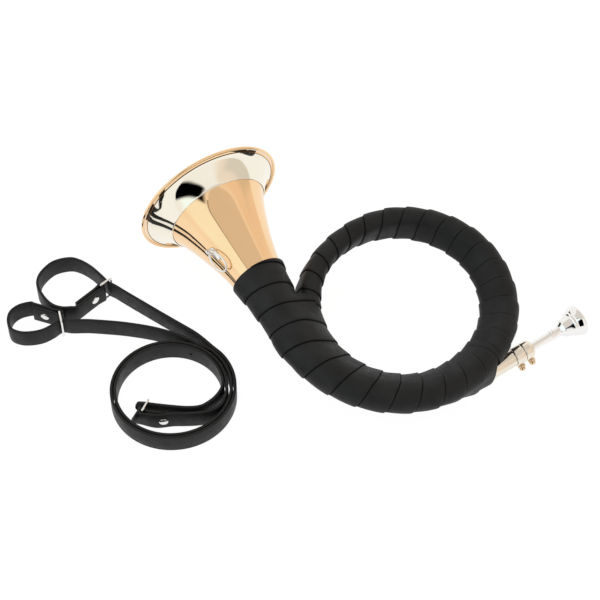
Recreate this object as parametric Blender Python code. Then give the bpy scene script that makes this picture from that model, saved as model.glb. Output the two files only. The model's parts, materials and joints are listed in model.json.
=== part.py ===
"""Valveless ring horn with a leather-wrapped coil, lying beside its carrying strap.

Metres, +Z up. The conical tube makes two and a quarter turns on a flat ring and
runs straight out to the bell. Horn pieces are modelled in the ring's own plane
(x and y in the plane, z its upper side, origin at the ring's centre). The horn is
then laid on a floor, where it rests on the bell's rim and on two points of the ring.
The strap stands on edge on the same floor. The model's origin is the middle of its
bounding box, at floor level.
"""
import math

import bmesh
import bpy
import numpy as np
from mathutils import Matrix, Vector

TAU = 2.0 * math.pi

# Fits
GAP = 0.0003                      # clearance between pieces that touch

# Coil tube: angles are degrees of winding, clockwise seen from above
RING_RADIUS = 0.074               # mean radius of the bundle of tubes
START_ANGLE = -44.2               # ring angle where winding is counted from
FOOT_TURN = 826.2                 # winding at which the tube leaves the ring for the bell
TUBE_START_RADIUS = 0.0048
TUBE_TAPER = 0.0018               # even growth of the radius over the winding
TUBE_FLARE = 0.0066               # growth that comes at the end of the winding
FLARE_POWER = 9
TUBE_WALL = 0.0005
TUBE_SIDES = 8
TUBE_STEP = 12.0                  # degrees of winding between rings of the tube mesh

# Lanes: winding, offset outward from the ring radius, offset upward
LANES = (
    (10.0, 0.0024, -0.0099),
    (45.0, -0.0011, -0.0120),
    (106.6, -0.0013, -0.0114),
    (135.0, 0.0030, -0.0086),
    (180.0, 0.0010, -0.0072),
    (225.0, -0.0002, -0.0046),
    (270.0, -0.0033, -0.0027),
    (315.0, -0.0081, -0.0023),
    (360.0, -0.0113, -0.0015),
    (405.0, -0.0074, -0.0015),
    (466.6, -0.0028, -0.0001),
    (495.0, -0.0016, 0.0035),
    (540.0, -0.0018, 0.0054),
    (585.0, 0.0018, 0.0081),
    (630.0, 0.0049, 0.0074),
    (675.0, 0.0036, 0.0047),
    (705.0, 0.0016, 0.0069),
    (729.6, 0.0027, 0.0069),
    (765.0, 0.0072, 0.0059),
    (800.0, 0.0126, 0.0066),
    (FOOT_TURN, 0.0166, 0.0082),
)

# Bell branch: straight from the foot of the coil, distances back from the rim
BELL_TAIL = 0.1400                # rim to the joint with the coil tube
BRANCH_LENGTH = BELL_TAIL + 0.0075  # rim to the foot of the coil
BELL_PROFILE = (
    (0.0000, 0.0556),
    (0.0020, 0.0516),
    (0.0055, 0.0473),
    (0.0100, 0.0433),
    (0.0160, 0.0395),
    (0.0235, 0.0357),
    (0.0325, 0.0322),
    (0.0430, 0.0286),
    (0.0550, 0.0250),
    (0.0680, 0.0219),
    (0.0800, 0.0196),
    (0.0940, 0.0172),
    (0.1180, 0.0151),
    (BELL_TAIL, 0.0140),
)
BELL_WALL = 0.0005
BELL_SIDES = 36
BELL_STEP = 0.0120                # longest stretch between rings of the bell mesh
GARLAND_LENGTH = 0.0160           # width of the garland over the flare
GARLAND_WALL = 0.0005
RIM_WIRE_RADIUS = 0.0012
FERRULE_LENGTH = 0.0070
FERRULE_WALL = 0.0005

# Leather wraps
LEATHER_BASE = 0.0009             # leather over the metal at a turn's low side
LEATHER_STEP = 0.0010             # height of a turn's free edge over its neighbour
WRAP_CLEARANCE = 0.0008           # inside of the wrap to the tubes
FERRULE_ROOM = 0.0015             # further room over the ferrule of the bell's joint
TAUT = 0.0009                     # rounding of the skin between two tubes on the ring
SLACK = 0.0016                    # the same between the ring and the branch
WRAP_SIDES = 18
WRAP_STRIPS = 2                   # strips of faces across one turn
UPPER_FROM = 186.5                # ring angle where the upper wrap starts under the lower one
SEAM_ANGLE = -36.0                # ring angle where the two wraps meet
SEAM_OPENING = 0.3                # degrees between their ends
STUB_FROM = -0.0100               # room for the upper wrap inside the lower one, along the upper run
STUB_TO = 0.0600
STUB_ROOM = 3.0 * GAP             # between the upper wrap and the lower one over it
CORE_OVERRUN = 0.0020             # how far a wrap's hollow is cut past its ends
CORE_STEP = 0.0090                # spacing of the hollow's rings
STUB_STEP = 0.0060
PRESSED_SHARES = (0.14, 0.38, 0.66, 1.0)  # where the bell branch presses on the upper wrap, end to joint
UPPER_TURNS = 18
LOWER_TURNS = 13
WRAP_END = 0.0760                 # rim to the bell end of the leather
WEB_FROM = 0.0330                 # along the branch from the foot: where the leather leaves the ring
WEB_TO = 0.0450

# Mouthpipe: distances along its axis from its foot on the ring
PIPE_BEARING = 33.5               # direction in the ring's plane
PIPE_OFFSET = RING_RADIUS + LANES[0][1]  # ring centre to the axis
PIPE_DROP = -LANES[0][2]          # axis below the ring's plane at the foot
PIPE_RISE = 4.5                   # degrees that the axis climbs outward
LEAD_END = 0.0180                 # end of the coil tube
SLEEVE_FROM = 0.0140
SLEEVE_TO = 0.0490
SLEEVE_RADIUS = 0.0064
SLEEVE_WALL = 0.0009
SLIDE_FROM = 0.0220
SLIDE_WALL = 0.0005
COLLAR_LENGTH = 0.0082
COLLAR_RADIUS = 0.0073
RECEIVER_LENGTH = 0.0090
SOCKET_DEPTH = 0.0022             # slide tube inside the receiver
FERRULE_INSET = 0.0005            # ends of the lead's ferrule inside its neighbours
COLLAR_CHAMFER = 0.0009
CLAMP_SCREW_AT = 0.50             # share of the collar's length
RECEIVER_SCREW_AT = 0.56
PIPE_SIDES = 20
PIPE_SIDE = -0.0350               # across the ring: nearer the pipe than this, the horn rests on the pipe

# Clamp screws
SCREW_TILT = 45.0                 # degrees below the ring's plane
SCREW_RADIUS = 0.0011
SCREW_SIDES = 12
HEAD_PROFILE = (
    (0.0000, 0.0019),
    (0.0008, 0.0019),
    (0.0008, 0.0029),
    (0.0020, 0.0029),
    (0.0020, 0.0018),
    (0.0026, 0.0018),
    (0.0026, 0.0024),
    (0.0046, 0.0024),
    (0.0052, 0.0016),
)
HEAD_SOCKET = 0.0022              # depth of the head's socket over the screw
HEAD_VENT = 0.0002                # radius of the bore at the head's centre

# Mouthpiece: distances from the face of the receiver, outward positive
SHANK_INSIDE = 0.0190
MOUTHPIECE_PROFILE = (
    (-SHANK_INSIDE, 0.0028),
    (0.0000, 0.0032),
    (0.0172, 0.0037),
    (0.0172, 0.0041),
    (0.0184, 0.0041),
    (0.0184, 0.0037),
    (0.0196, 0.0037),
    (0.0196, 0.0041),
    (0.0208, 0.0041),
    (0.0208, 0.0037),
    (0.0258, 0.0040),
    (0.0272, 0.0052),
    (0.0286, 0.0064),
    (0.0330, 0.0078),
    (0.0356, 0.0090),
    (0.0364, 0.0098),
    (0.0380, 0.0098),
    (0.0386, 0.0104),
    (0.0420, 0.0122),
    (0.0440, 0.0125),
    (0.0450, 0.0116),
)
CUP_PROFILE = (
    (0.0450, 0.0094),
    (0.0438, 0.0083),
    (0.0400, 0.0072),
    (0.0340, 0.0052),
    (0.0290, 0.0026),
    (0.0260, 0.0014),
    (0.0120, 0.0014),
    (-SHANK_INSIDE, 0.0022),
)

# Strap ring on the bell
LUG_STATION = 0.0500              # back from the rim
LUG_TILT = 24.0                   # degrees above the ring's plane, on the outer side
LUG_PLATE_LENGTH = 0.0170
LUG_PLATE_WIDTH = 0.0100
LUG_PLATE_THICKNESS = 0.0008
EYE_RADIUS = 0.0023
EYE_WIRE = 0.0008
STRAP_RING_LENGTH = 0.0190        # along the centre of the wire
STRAP_RING_WIDTH = 0.0108
STRAP_RING_WIRE = 0.0008
STRAP_RING_REST = 14.0            # degrees that it leans in toward the bell at rest

# Carrying strap: positions in plan, in a frame whose distance to the ring's centre is below
RING_ON_FLOOR = (0.0795, -0.0269)
STRAP_WIDTH = 0.0168
STRAP_THICKNESS = 0.0022
STRAP_CHORD = 0.00007             # greatest distance of the curve from a flat facet
TIP_SHARE = 0.3                   # of the strap's width, left at its rounded tip
COIL_JOIN = (-0.0662, -0.0556)    # outer strap where it joins the coil
COIL_FROM = 52.0                  # bearing of that place; the coil runs clockwise and inward
COIL_RADIUS = 0.0468
COIL_STRETCH = 1.04               # the coil is a little wider than it is deep
COIL_PITCH = 0.0060               # two straps and their gaps for each turn
COIL_INSET = 0.0027               # inner strap inside the outer one
LONG_COIL_TO = -375.0
SHORT_COIL_TO = -350.0
SLIDER_WIRE = 0.0009
SLIDER_WIDTH = 0.0120
SLIDER_TURN = 0.0012              # rounding of a slider's corners
SLIDER_ROOM = 2.0 * GAP           # inside a slider, over and under the strap
SLIDER_PASS = 0.0070              # folded bar to the strap that runs through
STRAP_LIFT = SLIDER_ROOM + 2.0 * SLIDER_WIRE
FOLD_FLAT = 0.0060                # bar to where the two layers lie together
FOLD_START = 0.0020               # bar to where they begin to part
LEAN_REACH = 0.0090               # bar to where a leaning fold is upright again
LEAN_FADE = 0.0035
RIVET_RADIUS = 0.0012
RIVET_HEAD = 0.0034
RIVET_DOME = 0.0008
HOLE_RADIUS = 0.0010

# Coil's centre, from the join
COIL_CENTRE = (
    COIL_JOIN[0] - COIL_RADIUS * COIL_STRETCH * math.cos(math.radians(COIL_FROM)),
    COIL_JOIN[1] - COIL_RADIUS * math.sin(math.radians(COIL_FROM)),
)

# A folded end: slider bar, bearing at which the strap arrives, bearing of the slider's width, lean of
# the slider, curve of the folded strap (1/m), side that the tail lies on, bar to rivet, bar to the
# tail's tip, bar to where the strap is free. The end in the coil and the runs to it are in shares of
# the coil's radius.
LONG_NOOSE = ((-0.1541, -0.0008), 45.0, 40.0, 0.0, 0.0, -1.0, 0.0081, 0.0240, 0.0255)
SHORT_NOOSE = ((-0.1843, -0.0256), -19.0, -75.5, 0.0, 0.0, 1.0, 0.0118, 0.0215, 0.0220)
LONG_END = ((-0.500, -0.464), 161.6, 66.0, 21.0, 32.0, 1.0, 0.0190, 0.0235, 0.0255)

LONG_LOOP = (
    (-0.1755, -0.0206), (-0.1830, -0.0207), (-0.1906, -0.0178), (-0.1976, -0.0104), (-0.2028, 0.0000),
    (-0.2028, 0.0090), (-0.1985, 0.0172), (-0.1915, 0.0238), (-0.1803, 0.0268), (-0.1721, 0.0246),
    (-0.1638, 0.0192), (-0.1560, 0.0116),
)
LONG_STRAND = (
    (-0.1430, 0.0001), (-0.1348, -0.0059), (-0.1231, -0.0138), (-0.1079, -0.0240), (-0.0927, -0.0340),
    (-0.0815, -0.0414), (-0.0748, -0.0470),
)
LONG_RUN_OUT = ((0.799, -0.335), (0.656, -0.453), (0.453, -0.513), (0.229, -0.534))
SHORT_LOOP = (
    (-0.2074, -0.0162), (-0.2160, -0.0190), (-0.2218, -0.0250), (-0.2228, -0.0330), (-0.2200, -0.0405),
    (-0.2130, -0.0440), (-0.2048, -0.0442), (-0.1965, -0.0422), (-0.1892, -0.0378),
)
SHORT_STRAND = (
    (-0.1745, -0.0330), (-0.1630, -0.0328), (-0.1513, -0.0333), (-0.1354, -0.0346), (-0.1194, -0.0369),
    (-0.1072, -0.0396), (-0.0948, -0.0438), (-0.0830, -0.0495), (-0.0762, -0.0535),
)
SHORT_RUN_OUT = (
    (0.806, -0.010), (0.731, -0.160), (0.628, -0.278), (0.485, -0.378), (0.282, -0.410),
    (0.040, -0.397), (-0.240, -0.362),
)
SHORT_TAIL = ((-0.505, -0.300), (-0.562, -0.296))

# name: colour, roughness, metallic
FINISHES = {
    "gold_brass": ((0.86, 0.60, 0.33, 1.0), 0.12, 1.0),
    "nickel_silver": ((0.76, 0.72, 0.64, 1.0), 0.15, 1.0),
    "silver_plate": ((0.93, 0.92, 0.90, 1.0), 0.08, 1.0),
    "raw_brass": ((0.72, 0.52, 0.26, 1.0), 0.30, 1.0),
    "black_leather": ((0.025, 0.025, 0.026, 1.0), 0.55, 0.0),
}


def clear_scene():
    for item in list(bpy.data.objects):
        bpy.data.objects.remove(item, do_unlink=True)


def finish(name, slot):
    colour, roughness, metallic = FINISHES[slot]
    material = bpy.data.materials.new(name)
    material.use_nodes = True
    shader = material.node_tree.nodes["Principled BSDF"]
    shader.inputs["Base Color"].default_value = colour
    shader.inputs["Roughness"].default_value = roughness
    shader.inputs["Metallic"].default_value = metallic
    return material


def add_empty(name, parent=None, matrix=None):
    empty = bpy.data.objects.new(name, None)
    bpy.context.collection.objects.link(empty)
    empty.parent = parent
    if matrix is not None:
        empty.matrix_local = matrix
    return empty


def add_mesh(name, mesh_data, slot, parent, matrix=None, sharp=math.radians(35.0)):
    """Make an object from a bmesh, with its normals outward and its own material."""
    bmesh.ops.remove_doubles(mesh_data, verts=mesh_data.verts, dist=1e-7)
    bmesh.ops.recalc_face_normals(mesh_data, faces=mesh_data.faces)
    if mesh_data.calc_volume(signed=True) < 0.0:
        bmesh.ops.reverse_faces(mesh_data, faces=mesh_data.faces)
    mesh = bpy.data.meshes.new(name)
    mesh_data.to_mesh(mesh)
    mesh_data.free()
    mesh.shade_smooth()
    mesh.set_sharp_from_angle(angle=sharp)
    mesh.materials.append(finish(name, slot))
    item = bpy.data.objects.new(name, mesh)
    bpy.context.collection.objects.link(item)
    item.parent = parent
    if matrix is not None:
        item.matrix_local = matrix
    return item


def add_cutter(name, mesh_data, parent, matrix=None):
    cutter = add_mesh(name, mesh_data, "black_leather", parent, matrix)
    cutter.hide_render = True
    cutter.display_type = 'WIRE'
    return cutter


def cut(item, cutter, operation='DIFFERENCE', solver='EXACT'):
    modifier = item.modifiers.new(cutter.name, 'BOOLEAN')
    modifier.object = cutter
    modifier.operation = operation
    modifier.solver = solver


def loft(rings, closed=False):
    """Skin rings of equal length; closed joins the last ring to the first."""
    skin = bmesh.new()
    rows = [[skin.verts.new(point) for point in ring] for ring in rings]
    pairs = list(zip(rows, rows[1:]))
    if closed:
        pairs.append((rows[-1], rows[0]))
    count = len(rows[0])
    for lower, upper in pairs:
        for i in range(count):
            j = (i + 1) % count
            skin.faces.new((lower[i], lower[j], upper[j], upper[i]))
    if not closed:
        skin.faces.new(rows[0][::-1])
        skin.faces.new(rows[-1])
    return skin


def turned(profile, sides, closed=False):
    """Turn (distance, radius) pairs about +X."""
    rings = []
    for distance, radius in profile:
        rings.append([
            Vector((distance, radius * math.cos(TAU * i / sides), radius * math.sin(TAU * i / sides)))
            for i in range(sides)
        ])
    return loft(rings, closed)


def axis_matrix(origin, direction, up):
    """Frame with +X along direction and +Z near up."""
    x_axis = Vector(direction).normalized()
    y_axis = Vector(up).cross(x_axis).normalized()
    z_axis = x_axis.cross(y_axis)
    matrix = Matrix((x_axis, y_axis, z_axis)).transposed().to_4x4()
    matrix.translation = Vector(origin)
    return matrix


def smooth_path(points, chord_error):
    """Fewest points on the smooth curve through the route that keep facets close to it."""
    route = [Vector(point) for point in points]
    ends = [route[0] * 2.0 - route[1]] + route + [route[-1] * 2.0 - route[-2]]
    dense = []
    for a, b, c, d in zip(ends, ends[1:], ends[2:], ends[3:]):
        for step in range(24):
            t = step / 24.0
            dense.append(0.5 * (
                2.0 * b + (c - a) * t + (2.0 * a - 5.0 * b + 4.0 * c - d) * t ** 2
                + (3.0 * b - a - 3.0 * c + d) * t ** 3
            ))
    dense.append(route[-1])
    result = [dense[0]]
    start = 0
    for index in range(2, len(dense)):
        along = (dense[index] - dense[start]).normalized()
        between = [dense[k] - dense[start] for k in range(start + 1, index)]
        if max((offset - along * offset.dot(along)).length for offset in between) > chord_error:
            start = index - 1
            result.append(dense[start])
    result.append(dense[-1])
    return result


def interpolate(table, value, end_slope=None):
    """Monotone smooth curve through (position, value) pairs."""
    keys = [row[0] for row in table]
    vals = [row[1] for row in table]
    value = min(max(value, keys[0]), keys[-1])
    index = max(0, min(int(np.searchsorted(keys, value, side='right')) - 1, len(keys) - 2))
    slopes = [(vals[i + 1] - vals[i]) / (keys[i + 1] - keys[i]) for i in range(len(keys) - 1)]
    tangents = [slopes[0]]
    for left, right in zip(slopes, slopes[1:]):
        tangents.append(0.0 if left * right <= 0.0 else 2.0 * left * right / (left + right))
    tangents.append(slopes[-1] if end_slope is None else end_slope)
    span = keys[index + 1] - keys[index]
    t = (value - keys[index]) / span
    return (
        (2 * t ** 3 - 3 * t ** 2 + 1) * vals[index] + (t ** 3 - 2 * t ** 2 + t) * span * tangents[index]
        + (-2 * t ** 3 + 3 * t ** 2) * vals[index + 1] + (t ** 3 - t ** 2) * span * tangents[index + 1]
    )


# The coil's own geometry

def lane(winding):
    """Distance from the ring's centre and height of the tube; level and square on at the foot."""
    outward = interpolate([(row[0], row[1]) for row in LANES], winding, 0.0)
    upward = interpolate([(row[0], row[2]) for row in LANES], winding, 0.0)
    return RING_RADIUS + outward, upward


def tube_radius(winding):
    share = winding / FOOT_TURN
    return TUBE_START_RADIUS + TUBE_TAPER * share + TUBE_FLARE * share ** FLARE_POWER


def ring_point(winding):
    radius, height = lane(winding)
    angle = math.radians(START_ANGLE - winding)
    return Vector((radius * math.cos(angle), radius * math.sin(angle), height))


def outward_at(angle_degrees):
    angle = math.radians(angle_degrees)
    return Vector((math.cos(angle), math.sin(angle), 0.0))


FOOT_ANGLE = START_ANGLE - FOOT_TURN
FOOT = ring_point(FOOT_TURN)
BRANCH_OUT = outward_at(FOOT_ANGLE)
BELL_DIRECTION = Vector((BRANCH_OUT.y, -BRANCH_OUT.x, 0.0))
RIM_CENTRE = FOOT + BELL_DIRECTION * BRANCH_LENGTH
BELL_FRAME = axis_matrix(RIM_CENTRE, -BELL_DIRECTION, (0.0, 0.0, 1.0))
UP = Vector((0.0, 0.0, 1.0))

PIPE_OUT = outward_at(PIPE_BEARING - 90.0)
PIPE_DIRECTION = (
    outward_at(PIPE_BEARING) * math.cos(math.radians(PIPE_RISE)) + UP * math.sin(math.radians(PIPE_RISE))
)
PIPE_FOOT = PIPE_OUT * PIPE_OFFSET - UP * PIPE_DROP
PIPE_FRAME = axis_matrix(PIPE_FOOT, PIPE_DIRECTION, (0.0, 0.0, 1.0))
LANE_START = START_ANGLE - (PIPE_BEARING - 90.0)

COLLAR_FROM = SLEEVE_TO + GAP
COLLAR_TO = COLLAR_FROM + COLLAR_LENGTH
RECEIVER_FROM = COLLAR_TO + GAP
RECEIVER_TO = RECEIVER_FROM + RECEIVER_LENGTH
SLIDE_RADIUS = SLEEVE_RADIUS - SLEEVE_WALL - GAP
SLIDE_TO = RECEIVER_FROM + SOCKET_DEPTH


def coil_centres():
    """Centre and radius of the tube from the end of the lead to the foot of the branch."""
    stations = []
    for distance in (LEAD_END, LEAD_END * 0.5, 0.0):
        stations.append((PIPE_FRAME @ Vector((distance, 0.0, 0.0)), TUBE_START_RADIUS))
    winding = LANE_START + TUBE_STEP * 0.7
    while winding < FOOT_TURN - TUBE_STEP * 0.5:
        stations.append((ring_point(winding), tube_radius(winding)))
        winding += TUBE_STEP
    stations.append((FOOT, tube_radius(FOOT_TURN)))
    joint = BRANCH_LENGTH - BELL_TAIL - GAP
    stations.append((FOOT + BELL_DIRECTION * joint, interpolate(BELL_PROFILE, BELL_TAIL)))
    return stations


def tube_rings(stations, sides, shrink=0.0):
    rings = []
    centres = [centre for centre, radius in stations]
    for index, (centre, radius) in enumerate(stations):
        ahead = centres[min(index + 1, len(centres) - 1)]
        behind = centres[max(index - 1, 0)]
        frame = axis_matrix(centre, ahead - behind, UP)
        rings.append([
            frame @ Vector((
                0.0,
                (radius - shrink) * math.cos(TAU * i / sides),
                (radius - shrink) * math.sin(TAU * i / sides),
            ))
            for i in range(sides)
        ])
    return rings


def make_coil_tube(horn):
    stations = coil_centres()
    outer = tube_rings(stations, TUBE_SIDES)
    inner = tube_rings(stations, TUBE_SIDES, TUBE_WALL)
    return add_mesh("coil_tube", loft(outer + inner[::-1], closed=True), "gold_brass", horn)


# Bell, garland and rim

def bell_radius(station):
    return interpolate(BELL_PROFILE, station)


def shell_profile(stations, inner_offset, outer_offset):
    outer = [(station, bell_radius(station) + outer_offset) for station in stations]
    inner = [(station, bell_radius(station) + inner_offset) for station in reversed(stations)]
    return outer + inner


def bell_stations():
    stations = [0.0]
    for low, high in zip(BELL_PROFILE, BELL_PROFILE[1:]):
        count = math.ceil((high[0] - low[0]) / BELL_STEP)
        stations += [low[0] + (high[0] - low[0]) * (k + 1) / count for k in range(count)]
    return stations


def make_bell(horn):
    stations = bell_stations()
    profile = shell_profile(stations, -BELL_WALL, 0.0)
    return add_mesh("bell", turned(profile, BELL_SIDES, closed=True), "gold_brass", horn, BELL_FRAME)


def make_garland(horn):
    stations = [row[0] for row in BELL_PROFILE if row[0] < GARLAND_LENGTH - 0.001] + [GARLAND_LENGTH]
    stations[0] = RIM_WIRE_RADIUS
    profile = shell_profile(stations, GAP, GAP + GARLAND_WALL)
    return add_mesh("bell_garland", turned(profile, BELL_SIDES, closed=True), "nickel_silver", horn, BELL_FRAME)


def make_rim_wire(horn):
    ring = []
    centre = bell_radius(0.0) + RIM_WIRE_RADIUS + GAP
    for i in range(8):
        angle = TAU * i / 8
        ring.append((-GAP + RIM_WIRE_RADIUS * math.sin(angle), centre + RIM_WIRE_RADIUS * math.cos(angle)))
    return add_mesh("rim_wire", turned(ring, BELL_SIDES, closed=True), "gold_brass", horn, BELL_FRAME)


def make_bell_ferrule(horn):
    """Sleeve over the joint of the bell's tail and the coil tube."""
    near = BELL_TAIL - FERRULE_LENGTH * 0.5
    far = BELL_TAIL + FERRULE_LENGTH * 0.5
    wide = bell_radius(near) + GAP
    narrow = bell_radius(BELL_TAIL) + GAP
    profile = (
        (near, wide), (BELL_TAIL, narrow), (far, narrow),
        (far, narrow + FERRULE_WALL), (BELL_TAIL, narrow + FERRULE_WALL), (near, wide + FERRULE_WALL),
    )
    return add_mesh("bell_ferrule", turned(profile, 24, closed=True), "gold_brass", horn, BELL_FRAME)


# Leather wraps

def hull_point(circles, angle, out, softness):
    """Point of a taut skin round circles (outward, upward, radius, reluctance).

    The rounding between two circles always lies outside the tangent they share.
    """
    cosine = math.cos(angle)
    sine = math.sin(angle)
    reach = [c[0] * cosine + c[1] * sine + c[2] - c[3] for c in circles]
    best = max(reach)
    weights = [math.exp((r - best) / softness) for r in reach]
    total = sum(weights)
    x = sum(w * (c[0] + c[2] * cosine) for w, c in zip(weights, circles)) / total
    z = sum(w * (c[1] + c[2] * sine) for w, c in zip(weights, circles)) / total
    swell = best + softness * math.log(total) - sum(w * r for w, r in zip(weights, reach)) / total
    return out * (x + swell * cosine) + UP * (z + swell * sine)


class UpperRun:
    """The ring from under the lower wrap, over the top and down to the seam."""

    length = math.radians(UPPER_FROM - SEAM_ANGLE) * RING_RADIUS

    @staticmethod
    def point(distance, angle, grow):
        ring_angle = UPPER_FROM - math.degrees(distance / RING_RADIUS)
        first = (START_ANGLE - ring_angle) % 360.0
        circles = []
        for winding in (first, first + 360.0):
            radius, height = lane(winding)
            circles.append((radius, height, tube_radius(winding) + grow, 0.0))
        return hull_point(circles, angle, outward_at(ring_angle), TAUT)


class LowerRun:
    """The bottom of the ring and the bell branch, as far as the leather reaches."""

    start_angle = SEAM_ANGLE - SEAM_OPENING
    arc = math.radians(start_angle - FOOT_ANGLE % -360.0) * (RING_RADIUS + 0.006)
    length = arc + BRANCH_LENGTH - WRAP_END

    @classmethod
    def point(cls, distance, angle, grow):
        to_joint = abs(distance - cls.arc - BRANCH_LENGTH + BELL_TAIL)
        room = FERRULE_ROOM * min(1.0, max(0.0, 2.0 - to_joint / FERRULE_LENGTH))
        if distance <= cls.arc:
            ring_angle = cls.start_angle - (cls.start_angle - FOOT_ANGLE % -360.0) * distance / cls.arc
            return cls.on_ring(ring_angle, angle, grow, room)
        return cls.on_branch(distance - cls.arc, angle, grow, room)

    @staticmethod
    def on_ring(ring_angle, angle, grow, room):
        first = START_ANGLE - ring_angle
        circles = []
        for winding in (first + 360.0, first + 720.0):
            radius, height = lane(winding)
            size = tube_radius(winding) + grow
            circles.append((radius, height, size + (room if winding > first + 700.0 else 0.0), 0.0))
        if first > LANE_START:
            radius, height = lane(first)
            circles.append((radius, height, tube_radius(first) + grow, 0.0))
        else:
            along = PIPE_OFFSET * math.tan(math.radians(ring_angle - PIPE_BEARING + 90.0))
            centre = PIPE_FRAME @ Vector((along, 0.0, 0.0))
            sleeved = min(1.0, max(0.0, along / SLEEVE_FROM * 2.0))
            size = TUBE_START_RADIUS + (SLEEVE_RADIUS - TUBE_START_RADIUS) * sleeved + grow
            circles.append((math.hypot(centre.x, centre.y), centre.z, size, 0.0))
        return hull_point(circles, angle, outward_at(ring_angle), TAUT)

    @staticmethod
    def on_branch(along, angle, grow, room):
        foot_radius = math.hypot(FOOT.x, FOOT.y)
        station = BRANCH_LENGTH - along
        if station > BELL_TAIL:
            share = along / (BRANCH_LENGTH - BELL_TAIL)
            start = tube_radius(FOOT_TURN)
            bore = start + (interpolate(BELL_PROFILE, BELL_TAIL) - start) * share
        else:
            bore = bell_radius(station)
        circles = [(foot_radius, FOOT.z, bore + grow + room, 0.0)]
        leave = max(0.0, (along - WEB_FROM) / (WEB_TO - WEB_FROM))
        for winding in (FOOT_TURN - 720.0, FOOT_TURN - 360.0):
            turn_back = math.degrees(math.asin(min(0.9, along / RING_RADIUS)))
            radius, height = lane(winding + turn_back)
            outward = math.sqrt(max(0.0, radius ** 2 - along ** 2))
            size = tube_radius(winding + turn_back) + grow
            circles.append((outward, height, size, leave * 0.060))
        point = hull_point(circles, angle, BRANCH_OUT, TAUT + (SLACK - TAUT) * min(1.0, along / WEB_FROM))
        return point + BELL_DIRECTION * along


def wound_skin(run, turns, extra=0.0):
    """Overlapping helical turns of a leather strip: each turn's free edge stands on the last.

    Rows run along the bundle, one for each side; a turn's strip of faces spans one pitch,
    and a narrow face climbs the free edge to the next turn.
    """
    pitch = run.length / turns
    shares = [k / WRAP_STRIPS for k in range(WRAP_STRIPS + 1)]
    skin = bmesh.new()
    made = {}

    def vertex(turn_row, share):
        place = pitch * (turn_row / WRAP_SIDES + share)
        inside = min(max(place, 0.0), run.length)
        fall = inside / pitch - turn_row / WRAP_SIDES
        height = LEATHER_BASE + LEATHER_STEP * (1.0 - fall)
        angle = -TAU * (turn_row % WRAP_SIDES) / WRAP_SIDES
        key = (turn_row % WRAP_SIDES, round(inside, 7), round(height, 7))
        if key not in made:
            made[key] = skin.verts.new(run.point(inside, angle, height + WRAP_CLEARANCE + extra))
        return made[key], place

    def face(corners):
        places = [place for item, place in corners]
        if max(places) <= 1e-9 or min(places) >= run.length - 1e-9:
            return
        unique = []
        for item, place in corners:
            if item not in unique:
                unique.append(item)
        if len(unique) >= 3:
            skin.faces.new(unique)

    for row in range(-WRAP_SIDES - 1, (turns + 1) * WRAP_SIDES):
        for low, high in zip(shares, shares[1:]):
            face([vertex(row, low), vertex(row + 1, low), vertex(row + 1, high), vertex(row, high)])
        face([
            vertex(row, 1.0), vertex(row + 1, 1.0),
            vertex(row + 1 + WRAP_SIDES, 0.0), vertex(row + WRAP_SIDES, 0.0),
        ])
    bmesh.ops.remove_doubles(skin, verts=skin.verts, dist=1e-6)
    open_edges = [edge for edge in skin.edges if edge.is_boundary]
    bmesh.ops.holes_fill(skin, edges=open_edges, sides=0)
    bmesh.ops.triangulate(skin, faces=skin.faces)
    return skin


def core(run, start, end, grow, step):
    """Smooth solid inside a run, from start to end."""
    count = max(2, round((end - start) / step))
    rings = []
    for k in range(count + 1):
        distance = start + (end - start) * k / count
        rings.append([run.point(distance, -TAU * i / WRAP_SIDES, grow) for i in range(WRAP_SIDES)])
    return loft(rings)


def hollow(run):
    return core(run, -CORE_OVERRUN, run.length + CORE_OVERRUN, WRAP_CLEARANCE, CORE_STEP)


def make_wraps(horn):
    upper = add_mesh("upper_wrap", wound_skin(UpperRun, UPPER_TURNS), "black_leather", horn)
    upper_core = add_cutter("upper_core", hollow(UpperRun), horn)
    cut(upper, upper_core)
    groove = ((0.0, SLEEVE_RADIUS + GAP), (SLEEVE_TO, SLEEVE_RADIUS + GAP))
    cut(upper, add_cutter("sleeve_groove", turned(groove, PIPE_SIDES), horn, PIPE_FRAME))
    stations = [WRAP_END + (BELL_TAIL - WRAP_END) * share for share in PRESSED_SHARES]
    pressed = [(station, bell_radius(station) + GAP) for station in stations]
    cut(upper, add_cutter("branch_groove", turned(pressed, BELL_SIDES), horn, BELL_FRAME))
    lower = add_mesh("lower_wrap", wound_skin(LowerRun, LOWER_TURNS), "black_leather", horn)
    lower_core = add_cutter("lower_core", hollow(LowerRun), horn)
    cut(lower, lower_core)
    covered = WRAP_CLEARANCE + LEATHER_BASE + LEATHER_STEP + STUB_ROOM
    stub = add_cutter("upper_stub", core(UpperRun, STUB_FROM, STUB_TO, covered, STUB_STEP), horn)
    cut(lower, stub, solver='MANIFOLD')


# Mouthpipe, slide and clamps

def pipe_shape(name, profile, slot, parent, sides=PIPE_SIDES):
    return add_mesh(name, turned(profile, sides, closed=True), slot, parent)


def ring_profile(start, end, inner, outer, chamfer=0.0):
    return (
        (start, inner), (start, outer - chamfer), (start + chamfer, outer),
        (end - chamfer, outer), (end, outer - chamfer), (end, inner),
    ) if chamfer else ((start, inner), (start, outer), (end, outer), (end, inner))


def screw_frame(distance):
    """Frame of a clamp screw: +X outward from the pipe's axis."""
    tilt = math.radians(SCREW_TILT)
    side = UP.cross(PIPE_DIRECTION).normalized() * -1.0
    direction = side * math.cos(tilt) - UP * math.sin(tilt)
    direction = (direction - PIPE_DIRECTION * direction.dot(PIPE_DIRECTION)).normalized()
    return axis_matrix(PIPE_FRAME @ Vector((distance, 0.0, 0.0)), direction, PIPE_DIRECTION)


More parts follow.
